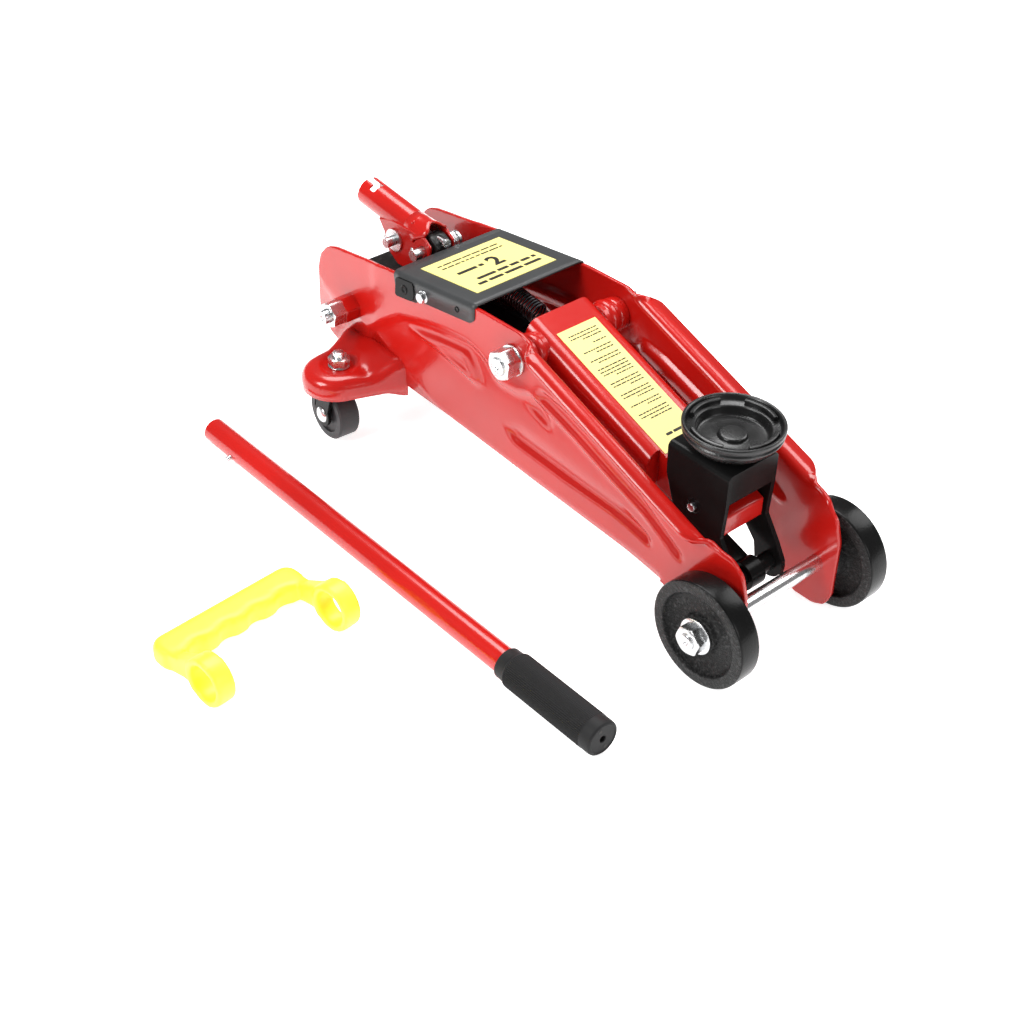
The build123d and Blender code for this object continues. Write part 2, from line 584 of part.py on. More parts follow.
with BuildPart() as saddle_retainer:
    with BuildSketch(plan(107.2)):
        with Locations((SADDLE_X, 0)):
            Circle(13)
            Circle(8, mode=Mode.SUBTRACT)
    extrude(amount=3)
saddle_retainer.part.label = "saddle_retainer"
export_step(saddle_retainer.part, "parts/saddle_retainer.step")

# ------------------------------------------------------------------ cover plate over the pump
COVER_FROM = (-304.7, 137.3)
COVER_TO = (-222.9, 148.1)
COVER_T = 1.3
COVER_HALF = 48.2
FLAP = [COVER_FROM, COVER_TO, (-222.9, 139), (-228, 132.5), (-282, 123.5), (-284, 120.5),
        (COVER_FROM[0], 118.5)]
SCREW_X, SCREW_Z = -272.8, 132.0
with BuildPart() as cover_plate:
    extrude(outline(side(COVER_HALF), FLAP), amount=2 * COVER_HALF)
    along = Axis((0, 0, 0), (COVER_TO[0] - COVER_FROM[0], 0, COVER_TO[1] - COVER_FROM[1]))
    fillet(cover_plate.edges().filter_by(along), 4)
    cut = [(-320, 100), (-320, COVER_FROM[1] - COVER_T - 2.02), (-210, COVER_TO[1] + 1.7 - COVER_T),
           (-210, 100)]
    cover_in = COVER_HALF - COVER_T
    extrude(outline(side(cover_in), cut), amount=2 * cover_in, mode=Mode.SUBTRACT)
cover_plate.part.label = "cover_plate"
export_step(cover_plate.part, "parts/cover_plate.step")

cover_dir = Vector(COVER_TO[0] - COVER_FROM[0], 0, COVER_TO[1] - COVER_FROM[1]).normalized()
with BuildPart() as cover_label:
    middle = (AXLE_X + (COVER_FROM[0] + COVER_TO[0]) / 2, JACK_Y, (COVER_FROM[1] + COVER_TO[1]) / 2)
    start = Plane(origin=middle, x_dir=cover_dir, z_dir=cover_dir.cross(Vector(0, 1, 0)))
    with BuildSketch(start):
        Rectangle(57, 68)
    extrude(amount=0.4)
cover_label.part.label = "cover_label"
export_step(cover_label.part, "parts/cover_label.step")

with BuildPart() as cover_screws:
    for sign in (-1, 1):
        start = side(max(sign * COVER_HALF, sign * (COVER_HALF + 3.5)))
        extrude(hexagon(start, (SCREW_X, SCREW_Z), 8, 10), amount=3.5)
cover_screws.part.label = "cover_screws"
export_step(cover_screws.part, "parts/cover_screws.step")

# ------------------------------------------------------------------ return spring
SPRING_FROM = (-250.0, 133.0)
SPRING_TO = (-213.0, 128.0)
spring_dir = Vector(SPRING_TO[0] - SPRING_FROM[0], 0, SPRING_TO[1] - SPRING_FROM[1])
with BuildPart() as return_spring:
    start = Plane(origin=(AXLE_X + SPRING_FROM[0], JACK_Y, SPRING_FROM[1]), x_dir=(0, 1, 0),
                  z_dir=spring_dir)
    with BuildSketch(start):
        Circle(5.2)
        Circle(3.6, mode=Mode.SUBTRACT)
    extrude(amount=spring_dir.length)
    with BuildSketch(start.offset(-18)):
        with Locations((4.4, 0)):
            Circle(0.9)
    extrude(amount=spring_dir.length + 24.5)
return_spring.part.label = "return_spring"
export_step(return_spring.part, "parts/return_spring.step")

# ------------------------------------------------------------------ lever socket
tilt = radians(SOCKET_SLOPE)
tube_dir = Vector(cos(tilt), 0, -sin(tilt))
mouth = Vector(AXLE_X + SOCKET_END_X, JACK_Y, SOCKET_END_Z)
TUBE = 66.0
mouth_plane = Plane(origin=mouth, x_dir=(0, 1, 0), z_dir=tube_dir)
EARS = [(-318, 143), (-311, 138), (-311, 127), (-322, 121.5), (-334, 111.5), (-346, 111.5), (-356, 118),
        (-360, 130), (-366, 138), (-350, 142)]
with BuildPart() as handle_socket:
    extrude(disc(mouth_plane, (0, 0), SOCKET_R), amount=TUBE)
    for sign in (-1, 1):
        extrude(outline(side(max(sign * EAR_IN, sign * EAR_OUT)), EARS), amount=EAR_OUT - EAR_IN)
    extrude(disc(mouth_plane, (0, 0), SOCKET_BORE), amount=TUBE + 5, mode=Mode.SUBTRACT)
    with BuildSketch(mouth_plane.offset(SOCKET_DEPTH)):
        Circle(SOCKET_BORE + 0.8)
        Circle(STOP_BORE, mode=Mode.SUBTRACT)
    extrude(amount=4)
    below = [(-300, 60), (-300, 135), (-362.2, 142.6), (-364.6, 122.7), (-364.6, 60)]
    extrude(outline(side(EAR_IN), below), amount=2 * EAR_IN, mode=Mode.SUBTRACT)
    with BuildSketch(Plane(origin=mouth, x_dir=tube_dir, z_dir=Vector(0, 1, 0).cross(tube_dir) * -1)):
        Rectangle(13, 5, align=(Align.MIN, Align.CENTER))
        with Locations((8, 0)):
            Rectangle(5, 6.5, align=(Align.MIN, Align.MAX))
    extrude(amount=15, mode=Mode.SUBTRACT)
    extrude(disc(side(30), (PUMP_X, PUMP_Z), 4 + RUN), amount=60, mode=Mode.SUBTRACT)
    extrude(disc(side(30), (PLUNGER_X, PLUNGER_Z), 3.5), amount=60, mode=Mode.SUBTRACT)
handle_socket.part.label = "handle_socket"
export_step(handle_socket.part, "parts/handle_socket.step")

SOCKET_PINS = (("socket_pivot_pin", (PUMP_X, PUMP_Z), 4.0),
               ("plunger_pin", (PLUNGER_X, PLUNGER_Z), 3.5))
for label, centre, radius in SOCKET_PINS:
    with BuildPart() as pin:
        add(bar(centre, radius, -19.5, 19.5))
        add(bar(centre, radius + 2, 17.5, 19.5))
    pin.part.label = label
    export_step(pin.part, "parts/" + label + ".step")

with BuildPart() as plunger_pin_washer:
    with BuildSketch(side(-EAR_OUT - 0.1)):
        with Locations((PLUNGER_X, PLUNGER_Z)):
            Circle(8)
            Circle(3.5, mode=Mode.SUBTRACT)
    extrude(amount=1.6)
plunger_pin_washer.part.label = "plunger_pin_washer"
export_step(plunger_pin_washer.part, "parts/plunger_pin_washer.step")

with BuildPart() as torsion_spring:
    with BuildSketch(side(16.8)):
        with Locations((PUMP_X, PUMP_Z)):
            Circle(7)
            Circle(5.2, mode=Mode.SUBTRACT)
    extrude(amount=5.6)
torsion_spring.part.label = "torsion_spring"
export_step(torsion_spring.part, "parts/torsion_spring.step")

# ------------------------------------------------------------------ loose pump lever
LEVER_END = (LEVER_TO, -150.5)
LEVER_START = (LEVER_FROM, -142.6)
lever_yaw = atan2(LEVER_END[1] - LEVER_START[1], LEVER_END[0] - LEVER_START[0])
lever_length = hypot(LEVER_END[1] - LEVER_START[1], LEVER_END[0] - LEVER_START[0])
GRIP_START = lever_length - (LEVER_TO - GRIP_FROM)
lever_rise = atan2(GRIP_R - LEVER_R, GRIP_START)
lever_dir = Vector(cos(lever_yaw) * cos(lever_rise), sin(lever_yaw) * cos(lever_rise), sin(lever_rise))
lever = Plane(origin=(AXLE_X + LEVER_FROM, JACK_Y + LEVER_START[1], LEVER_R * cos(lever_rise)),
              x_dir=(-sin(lever_yaw), cos(lever_yaw), 0), z_dir=lever_dir)
pin_plane = Plane(origin=lever.origin + lever_dir * 32, x_dir=lever_dir,
                  z_dir=Vector(sin(lever_yaw), -cos(lever_yaw), -0.25))
with BuildPart() as lever_tube:
    with BuildSketch(lever):
        Circle(LEVER_R)
        Circle(LEVER_R - 1.5, mode=Mode.SUBTRACT)
    extrude(amount=lever_length - 6)
    extrude(disc(pin_plane, (0, 0), 2), amount=20, mode=Mode.SUBTRACT)
lever_tube.part.label = "lever_tube"
export_step(lever_tube.part, "parts/lever_tube.step")

with BuildPart() as lever_grip:
    extrude(disc(lever.offset(GRIP_START), (0, 0), GRIP_R), amount=lever_length - GRIP_START)
    extrude(disc(lever.offset(GRIP_START - 3), (0, 0), LEVER_R + 1.4), amount=3)
    fillet(lever_grip.edges().filter_by(GeomType.CIRCLE).sort_by(Axis.X)[-1], 2)
    extrude(disc(lever.offset(GRIP_START - 4), (0, 0), LEVER_R), amount=lever_length - 6 - GRIP_START + 4,
            mode=Mode.SUBTRACT)
    extrude(disc(lever.offset(lever_length - 8), (0, 0), 2.2), amount=12, mode=Mode.SUBTRACT)
lever_grip.part.label = "lever_grip"
export_step(lever_grip.part, "parts/lever_grip.step")

with BuildPart() as lever_pin:
    extrude(disc(pin_plane.offset(LEVER_R - 2.6), (0, 0), 2), amount=6.1)
lever_pin.part.label = "lever_pin"
export_step(lever_pin.part, "parts/lever_pin.step")

# ------------------------------------------------------------------ loose carry handle
CARRY_YAW = 4.0
CARRY_RING_R = 16.0
CARRY_BORE = 11.5
CARRY_RING_Y = 48.0
RING_WIDTH = 13.5
GRIP_X = -42.5
carry_x = Vector(cos(radians(CARRY_YAW)), sin(radians(CARRY_YAW)), 0)
carry = Plane(origin=(AXLE_X - 172, JACK_Y - 244.5, 0), x_dir=carry_x)
carry_y = Vector(-sin(radians(CARRY_YAW)), cos(radians(CARRY_YAW)), 0)
with BuildPart() as carry_handle:
    with BuildSketch(carry):
        with Locations((GRIP_X, 0)):
            RectangleRounded(23, 109, 9)
        for groove in range(4):
            with Locations((GRIP_X + 17.5, -33 + 22 * groove)):
                Ellipse(8.5, 9.5, mode=Mode.SUBTRACT)
    extrude(amount=16)
    fillet(carry_handle.edges().filter_by(Axis.Z, reverse=True).group_by(Axis.Z)[-1], 5)
    fillet(carry_handle.edges().filter_by(Axis.Z, reverse=True).group_by(Axis.Z)[0], 5)
    for sign in (-1, 1):
        ring = carry.origin + carry_y * (sign * CARRY_RING_Y + RING_WIDTH / 2)
        start = Plane(origin=ring, x_dir=carry_x, z_dir=-carry_y)
        with BuildSketch(start.offset((RING_WIDTH - 9) / 2)):
            with BuildLine():
                Polyline((GRIP_X, 1.5), (-12, 6), (-12, 26), (-30, 16), (GRIP_X, 15), close=True)
            make_face()
        extrude(amount=9)
        extrude(disc(start, (0, CARRY_RING_R), CARRY_RING_R), amount=RING_WIDTH)
        extrude(disc(start, (0, CARRY_RING_R), CARRY_BORE), amount=RING_WIDTH, mode=Mode.SUBTRACT)
carry_handle.part.label = "carry_handle"
export_step(carry_handle.part, "parts/carry_handle.step")
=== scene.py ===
"""Trolley jack with its lever and carry handle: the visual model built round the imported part."""

import math
import random

import bmesh
import bpy
from bpy.props import FloatProperty, FloatVectorProperty, IntProperty, PointerProperty
from mathutils import Matrix, Vector


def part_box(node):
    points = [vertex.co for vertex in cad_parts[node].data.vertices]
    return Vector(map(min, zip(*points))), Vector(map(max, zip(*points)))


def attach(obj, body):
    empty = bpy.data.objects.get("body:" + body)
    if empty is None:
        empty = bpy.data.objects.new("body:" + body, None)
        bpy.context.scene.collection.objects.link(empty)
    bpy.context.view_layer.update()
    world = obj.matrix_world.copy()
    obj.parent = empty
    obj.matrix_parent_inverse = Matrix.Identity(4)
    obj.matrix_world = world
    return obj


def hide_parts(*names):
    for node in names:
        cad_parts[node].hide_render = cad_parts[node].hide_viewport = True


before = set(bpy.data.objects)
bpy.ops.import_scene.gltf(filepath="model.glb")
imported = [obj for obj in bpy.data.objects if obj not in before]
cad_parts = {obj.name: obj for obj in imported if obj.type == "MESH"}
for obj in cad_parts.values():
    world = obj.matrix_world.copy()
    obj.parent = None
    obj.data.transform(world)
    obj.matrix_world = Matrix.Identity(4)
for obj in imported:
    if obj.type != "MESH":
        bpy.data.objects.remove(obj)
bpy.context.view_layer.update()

bl_info = {
    "name": "Trolley Jack",
    "version": (1, 0, 0),
    "blender": (4, 5, 0),
    "location": "3D View > Sidebar > Jack",
    "description": "Builds the finished surfaces of a trolley jack round its packed frame",
    "category": "Add Mesh",
}

MM = 0.001
FRONT_AXLE = Vector((0.1779, 0.1018, 0.0))
SIDES = (("right", -1), ("left", 1))
ARM_PIVOT = (-186, 0, 126.5)
REAR_BOLT = (-352, 0, 88)
KING_PIN_X, KING_PIN_Y = -333.5, 72.5
UPRIGHT = Matrix.Rotation(math.pi / 2, 3, "X")


# ---------------------------------------------------------------- settings


class JackColours(bpy.types.PropertyGroup):
    """Colours and surface sizes of the finishes."""

    enamel: FloatVectorProperty(
        name="Enamel", description="Red baked enamel of the pressed steel",
        subtype="COLOR", size=3, min=0, max=1, default=(0.50, 0.009, 0.006))
    black: FloatVectorProperty(
        name="Black paint", description="Paint of the bracket, cup and cylinder",
        subtype="COLOR", size=3, min=0, max=1, default=(0.006, 0.006, 0.006))
    cover: FloatVectorProperty(
        name="Cover paint", description="Satin paint of the cover plate",
        subtype="COLOR", size=3, min=0, max=1, default=(0.028, 0.029, 0.030))
    zinc: FloatVectorProperty(
        name="Zinc plate", description="Plating of the nuts, bolts and pins",
        subtype="COLOR", size=3, min=0, max=1, default=(0.78, 0.79, 0.80))
    sticker: FloatVectorProperty(
        name="Sticker", description="Pale yellow vinyl",
        subtype="COLOR", size=3, min=0, max=1, default=(0.88, 0.77, 0.26))
    carry: FloatVectorProperty(
        name="Carry handle", description="Yellow plastic",
        subtype="COLOR", size=3, min=0, max=1, default=(0.98, 0.86, 0.06))
    peel: FloatProperty(
        name="Orange peel", description="Height of the ripples in the enamel",
        subtype="DISTANCE", unit="LENGTH", min=0, max=0.001, default=0.00003)


class JackSizes(bpy.types.PropertyGroup):
    """Sizes and counts that a user may change."""

    grip_ribs: IntProperty(
        name="Grip ribs", description="Fine ribs round the lever's grip", min=12, max=90,
        default=60)
    panel_depth: FloatProperty(
        name="Panel depth", description="How far the side plates' panels are pressed in",
        min=0, max=6, default=3.0)


# ---------------------------------------------------------------- shader nodes


class Value:
    """A shader socket that Python's arithmetic works on."""

    def __init__(self, finish, socket):
        self.finish = finish
        self.socket = socket

    def maths(self, operation, first, second):
        return self.finish.add("Math", {"operation": operation}, {0: first, 1: second})

    def __add__(self, other):
        return self.maths("ADD", self, other)

    def __mul__(self, other):
        return self.maths("MULTIPLY", self, other)

    __radd__ = __add__
    __rmul__ = __mul__


class Finish:
    """The node tree of one material."""

    def __init__(self, name):
        self.material = bpy.data.materials.new(name)
        self.material.use_nodes = True
        self.tree = self.material.node_tree
        self.tree.nodes.clear()
        self.place = self.add("TexCoord", output="Object")

    def add(self, kind, settings=None, inputs=None, output=0):
        """Adds a node: its settings first, then its sockets. Gives one output."""
        node = self.tree.nodes.new("ShaderNode" + kind)
        for key, value in (settings or {}).items():
            if key == "stops":
                ramp = node.color_ramp.elements
                while len(ramp) < len(value):
                    ramp.new(0.5)
                for element, (position, shade) in zip(ramp, value):
                    element.position = position
                    element.color = (shade, shade, shade, 1)
            else:
                setattr(node, key, value)
        for key, value in (inputs or {}).items():
            socket = node.inputs[key]
            if isinstance(value, Value):
                self.tree.links.new(value.socket, socket)
            elif isinstance(value, tuple):
                alpha = (1.0,) if len(socket.default_value) == 4 else ()
                socket.default_value = value + alpha
            else:
                socket.default_value = value
        return Value(self, node.outputs[output])

    def noise(self, scale, detail=2.0, roughness=0.5):
        """Noise from 0 to 1 with about scale features in a metre."""
        inputs = {"Vector": self.place, "Scale": scale,
                  "Detail": detail, "Roughness": roughness}
        return self.add("TexNoise", None, inputs)

    def ramp(self, value, *stops):
        return self.add("ValToRGB", {"stops": stops}, {"Fac": value})

    def mix(self, factor, first, second):
        inputs = {"Factor": factor, 6: first, 7: second}
        return self.add("Mix", {"data_type": "RGBA"}, inputs, 2)

    def bump(self, height, distance, edge=0.0):
        """A Bump node over softened edges of that radius in metres."""
        inputs = {"Height": height, "Distance": distance, "Strength": 1.0}
        if edge:
            inputs["Normal"] = self.add("Bevel", {"samples": 4}, {"Radius": edge})
        return self.add("Bump", None, inputs)

    def surface(self, **inputs):
        """Ends the tree with a Principled surface and gives the material."""
        names = {key: key.replace("_", " ").title() for key in inputs}
        names.update(ior_level="Specular IOR Level")
        sockets = {names[key]: value for key, value in inputs.items()}
        shader = self.add("BsdfPrincipled", None, sockets)
        node = self.tree.nodes.new("ShaderNodeOutputMaterial")
        self.tree.links.new(shader.socket, node.inputs["Surface"])
        return self.material


# ---------------------------------------------------------------- finishes


def enamel(name, colour):
    """Baked enamel: even colour, faint ripples and a few soft scuffs."""
    f = Finish(name)
    peel = bpy.context.scene.jack_colours.peel
    cloud = f.noise(14, 3)
    deep = tuple(part * 0.86 for part in colour)
    tone = f.mix(f.ramp(cloud, (0.35, 0.0), (0.65, 1.0)), deep, colour)
    scuff = f.ramp(f.noise(90, 5, 0.62), (0.50, 0.0), (0.78, 1.0))
    ripple = f.noise(420, 1.5)
    return f.surface(
        base_color=tone, roughness=scuff * 0.05 + 0.2, ior_level=0.42,
        coat_weight=0.22, coat_roughness=0.03, normal=f.bump(ripple, peel, 0.0008))


def plating(name, colour, roughness=0.22, grain=0.00002):
    """Bright plated steel with fine turning marks and dull patches."""
    f = Finish(name)
    patch = f.ramp(f.noise(120, 4, 0.6), (0.38, 0.0), (0.66, 1.0))
    dull = tuple(part * 0.72 for part in colour)
    grit = f.noise(2400, 2)
    return f.surface(
        base_color=f.mix(patch, dull, colour), metallic=1.0,
        roughness=patch * -0.08 + (roughness + 0.08),
        normal=f.bump(grit, grain, 0.0004))


def casting(name, colour, roughness=0.42, grain=0.00012):
    """Painted casting: sand grain under satin paint; lighter specks in the colour are painted
    glints.
    """
    f = Finish(name)
    sand = f.noise(520, 4, 0.65)
    lumps = f.noise(160, 2)
    # Painted glints: the lighter grey of the sand specks stands for light catching the grain.
    light = tuple(part * 3.0 + 0.045 for part in colour)
    return f.surface(
        base_color=f.mix(f.ramp(sand, (0.52, 0.0), (0.72, 1.0)), colour, light),
        roughness=sand * 0.2 + (roughness - 0.1), ior_level=0.28,
        normal=f.bump(sand + lumps * 0.6, grain, 0.0008))


def satin(name, colour, roughness, level, grain=0.00003, edge=0.0008):
    """Satin or gloss paint with a fine texture."""
    f = Finish(name)
    cloud = f.noise(40, 3)
    light = tuple(part * 1.5 + 0.002 for part in colour)
    fine = f.noise(800, 2)
    return f.surface(
        base_color=f.mix(cloud, colour, light), ior_level=level,
        roughness=cloud * 0.12 + (roughness - 0.06),
        normal=f.bump(fine, grain, edge))


def vinyl(name, colour):
    """Sticker vinyl."""
    f = Finish(name)
    cloud = f.noise(30, 2)
    warm = tuple(part * 0.95 for part in colour)
    return f.surface(
        base_color=f.mix(cloud, warm, colour), roughness=cloud * 0.1 + 0.38,
        normal=f.bump(f.noise(300, 2), 0.00002))


def moulded(name, colour):
    """Moulded plastic with a faint skin texture."""
    f = Finish(name)
    cloud = f.noise(26, 2)
    warm = (colour[0] * 0.97, colour[1] * 0.94, colour[2] * 0.8)
    return f.surface(
        base_color=f.mix(cloud, warm, colour), roughness=cloud * 0.08 + 0.36,
        subsurface_weight=0.3, subsurface_radius=(0.006, 0.005, 0.002), subsurface_scale=0.5,
        normal=f.bump(f.noise(700, 2), 0.00002, 0.001))


# Finish: its maker, its colour or the setting that holds it, and the maker's other values.
MAKERS = {
    "red_paint": (enamel, "enamel"),
    "black_paint": (satin, "black", 0.2, 0.08, 0.00002),
    "saddle_gloss": (satin, (0.007, 0.007, 0.007), 0.27, 0.48, 0.0001),
    "cast_block": (casting, "black"),
    "cover_black": (satin, "cover", 0.38, 0.4),
    "wheel": (casting, (0.007, 0.007, 0.007), 0.45, 0.0012),
    "wheel_tread": (satin, (0.004, 0.004, 0.004), 0.24, 0.14, 0.00006),
    "zinc": (plating, "zinc"),
    "chrome": (plating, (0.90, 0.90, 0.91), 0.2, 0.000005),
    "caster_tyre": (satin, (0.03, 0.03, 0.032), 0.5, 0.3, 0.00008),
    "label": (vinyl, "sticker"),
    "print_black": (satin, (0.016, 0.015, 0.014), 0.5, 0.2, 0.0, 0.0),
    "spring_black": (plating, (0.05, 0.05, 0.055), 0.3),
    "grip_black": (satin, (0.006, 0.006, 0.0065), 0.6, 0.25, 0.00008),
    "carry_yellow": (moulded, "carry"),
}
FINISHES = {}


def finish_for(name):
    """The material of that name, made on first use."""
    if name not in FINISHES:
        maker, colour, *values = MAKERS[name]
        if isinstance(colour, str):
            colour = tuple(getattr(bpy.context.scene.jack_colours, colour))
        FINISHES[name] = maker(name, colour, *values)
    return FINISHES[name]


# ---------------------------------------------------------------- stage

# Name, place and width in metres, power in watts.
SOFTBOXES = (
    ("top_softbox", (-0.6, 0.5, 1.7), 1.3, 36),
    ("side_softbox", (-0.3, -1.6, 1.45), 1.0, 34),
    ("front_softbox", (1.9, 0.3, 0.8), 0.9, 10),
    ("rear_softbox", (0.3, 1.3, 1.15), 0.9, 12),
)
FLOOR_REACH = 6000
FLOOR_GLOW, WORLD_LIGHT = 0.86, 0.2
CAMERA_LENS, CAMERA_SENSOR = 62.8, 36
CAMERA_TURN, CAMERA_RISE, CAMERA_ROLL = 47.09, 37.30, 1.99
CAMERA_AT = (0.68063, -0.58214, 0.72251)


class JACK_OT_stage(bpy.types.Operator):
    """Lay the pale floor, hang the soft lights and set the camera"""

    bl_idname = "jack.stage"
    bl_label = "Stage"

    def execute(self, context):
        scene = context.scene
        scene.view_settings.view_transform = "Standard"
        ground = bmesh.new()
        bmesh.ops.create_grid(ground, x_segments=2, y_segments=2, size=FLOOR_REACH)
        floor = as_object("floor", ground, "", None)
        f = Finish("pale_floor")
        cloud = f.noise(3, 2)
        tint = f.mix(cloud, (0.93, 0.93, 0.93), (0.95, 0.95, 0.95))
        floor.data.materials.append(f.surface(
            base_color=tint, roughness=0.9, ior_level=0.0,
            emission_color=tint, emission_strength=FLOOR_GLOW))
        world = bpy.data.worlds.new("studio")
        scene.world = world
        world.use_nodes = True
        background = world.node_tree.nodes["Background"].inputs
        background["Color"].default_value = (1, 1, 1, 1)
        background["Strength"].default_value = WORLD_LIGHT
        for name, place, size, power in SOFTBOXES:
            lamp = bpy.data.lights.new(name, "AREA")
            lamp.shape = "DISK"
            lamp.size = size
            lamp.energy = power
            box = place_object(name, lamp)
            box.location = place
            aim = Vector((0, 0, 0.05)) - Vector(place)
            box.rotation_euler = aim.to_track_quat("-Z", "Y").to_euler()
        eye = bpy.data.cameras.new("camera")
        eye.lens = CAMERA_LENS
        eye.sensor_width = CAMERA_SENSOR
        camera = place_object("camera", eye)
        camera.matrix_world = camera_place()
        scene.camera = camera
        return {"FINISHED"}


def camera_place():
    """Where the camera stands, and how it is turned."""
    turn, rise, roll = map(math.radians, (CAMERA_TURN, CAMERA_RISE, CAMERA_ROLL))
    back = Vector((math.sin(turn) * math.cos(rise), -math.cos(turn) * math.cos(rise),
                   math.sin(rise)))
    right = Vector((math.cos(turn), math.sin(turn), 0))
    up = back.cross(right)
    across = math.cos(roll) * right + math.sin(roll) * up
    upward = -math.sin(roll) * right + math.cos(roll) * up
    place = Matrix((across, upward, back)).transposed().to_4x4()
    place.translation = CAMERA_AT
    return place


# ---------------------------------------------------------------- mesh helpers


def place_object(name, data):
    """A new object in the scene that holds the mesh, light or other data."""
    piece = bpy.data.objects.new(name, data)
    bpy.context.scene.collection.objects.link(piece)
    return piece


def as_mesh(name, shape):
    """Turns a bmesh into a mesh and frees it."""
    data = bpy.data.meshes.new(name)
    shape.to_mesh(data)
    shape.free()
    return data


def worked_out(stand_in):
    """The mesh of an object with its modifiers or its text worked out; the object goes."""
    bpy.context.view_layer.update()
    data = bpy.data.meshes.new_from_object(
        stand_in.evaluated_get(bpy.context.evaluated_depsgraph_get()))
    bpy.data.objects.remove(stand_in)
    return data


def as_object(name, shape, finishes, body, replaces=(), smooth=35):
    """Turns a bmesh in millimetres from the front axle into an object of the frame."""
    data = as_mesh(name, shape)
    data.transform(Matrix.Translation(FRONT_AXLE) @ Matrix.Scale(MM, 4))
    return finished(name, data, finishes, body, replaces, smooth)


def finished(name, data, finishes, body, replaces, smooth):
    """Makes a mesh in metres an object with finishes, body and the nodes it replaces.

    The finishes, split by spaces, fill the material slots.
    """
    piece = place_object(name, data)
    for face in data.polygons:
        face.use_smooth = True
    data.set_sharp_from_angle(angle=math.radians(smooth))
    finishes = finishes.split()
    for item in finishes:
        data.materials.append(finish_for(item))
    finishes and finishes[0] != "print_black"
    if body:
        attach(piece, body)
    if replaces:
        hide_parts(*replaces)
    return piece


PLANES = {"XZ": lambda a, b: (a, 0, b), "YZ": lambda a, b: (0, a, b), "XY": lambda a, b: (a, b, 0)}


def flat_face(points, corner=0.0, segments=4, plane="XZ"):
    """A bmesh with one face from its corner points, with every corner rounded alike."""
    shape = bmesh.new()
    verts = [shape.verts.new(PLANES[plane](*point)) for point in points]
    shape.faces.new(verts)
    if corner:
        round_corners(shape, verts, corner, segments)
    return shape


def round_corners(shape, verts, corner, segments):
    """Rounds a flat outline at those of its corner points."""
    bmesh.ops.bevel(shape, geom=verts, offset=corner, offset_type="OFFSET", segments=segments,
                    profile=0.5, affect="VERTICES", clamp_overlap=True, material=-1)


def new_verts(made):
    """The vertices among what an operator made."""
    return [item for item in made["geom"] if isinstance(item, bmesh.types.BMVert)]


def slab(shape, offset):
    """Extrudes every face of a flat shape by an offset."""
    made = bmesh.ops.extrude_face_region(shape, geom=shape.faces[:])
    bmesh.ops.translate(shape, vec=offset, verts=new_verts(made))
    return shape


def extrude_rings(shape, edges, count):
    """Extrudes a run of edges count times. Gives each run's new vertices and the last edges."""
    rings = []
    for _ in range(count):
        made = bmesh.ops.extrude_edge_only(shape, edges=edges)
        edges = [e for e in made["geom"] if isinstance(e, bmesh.types.BMEdge)]
        rings.append(new_verts(made))
    return rings, edges


def cut(shape, point, normal):
    """Cuts the faces along a plane, so that they can bend there."""
    bmesh.ops.bisect_plane(shape, geom=everything(shape), dist=1e-4, plane_co=point,
                           plane_no=normal)


def make_sheet(piece, thickness):
    """Gives a piece that is a bare surface its sheet thickness in mm, on the inner side."""
    sheet = piece.modifiers.new("sheet", "SOLIDIFY")
    sheet.thickness = thickness * MM
    sheet.offset = -1


def node_box(name):
    """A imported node's low and high corners in mm from the front axle."""
    return [(corner - FRONT_AXLE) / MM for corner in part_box(name)]


def pin_line(name):
    """Where the line through a packed pin along Y lies in mm from the front axle."""
    low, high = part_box(name)
    middle = ((low + high) / 2 - FRONT_AXLE) / MM
    return middle.x, 0, middle.z


def both_sides(make, *values):
    """The right and the left shape that make gives from a sign and the values, joined."""
    return join(*[make(sign, *values) for _, sign in SIDES])


def everything(shape):
    return shape.verts[:] + shape.edges[:] + shape.faces[:]


def move(shape, offset=(0, 0, 0), turn=None):
    """Turns, then shifts, the whole shape."""
    place = Matrix.Translation(offset)
    if turn is not None:
        place = place @ turn.to_4x4()
    bmesh.ops.transform(shape, matrix=place, verts=shape.verts)
    return shape


def tidy(shape, gap=0.001):
    """Merges doubles and turns every face outwards."""
    bmesh.ops.remove_doubles(shape, verts=shape.verts, dist=gap)
    bmesh.ops.recalc_face_normals(shape, faces=shape.faces)
    return shape


def join(*shapes):
    """One bmesh holding all the shapes."""
    whole = bmesh.new()
    for shape in shapes:
        data = as_mesh("part", shape)
        whole.from_mesh(data)
        bpy.data.meshes.remove(data)
    return whole


def lathe(profile, corner=0.3, steps=48, segments=2, sign=1):
    """Spins (y, radius) points about the Y axis, with y times the sign.

    Points on the axis close the ends.
    """
    shape = flat_face([(sign * y, radius) for y, radius in profile], plane="YZ")
    if corner:
        off_axis = [v for v in shape.verts if v.co.z > 1e-6]
        round_corners(shape, off_axis, corner, segments)
    bmesh.ops.delete(shape, geom=shape.faces[:], context="FACES_ONLY")
    axis = [e for e in shape.edges if all(v.co.z < 1e-6 for v in e.verts)]
    bmesh.ops.delete(shape, geom=axis, context="EDGES")
    bmesh.ops.spin(shape, geom=everything(shape), cent=(0, 0, 0), axis=(0, 1, 0), dvec=(0, 0, 0),
                   angle=math.tau, steps=steps, use_merge=True, use_duplicate=False)
    return tidy(shape)


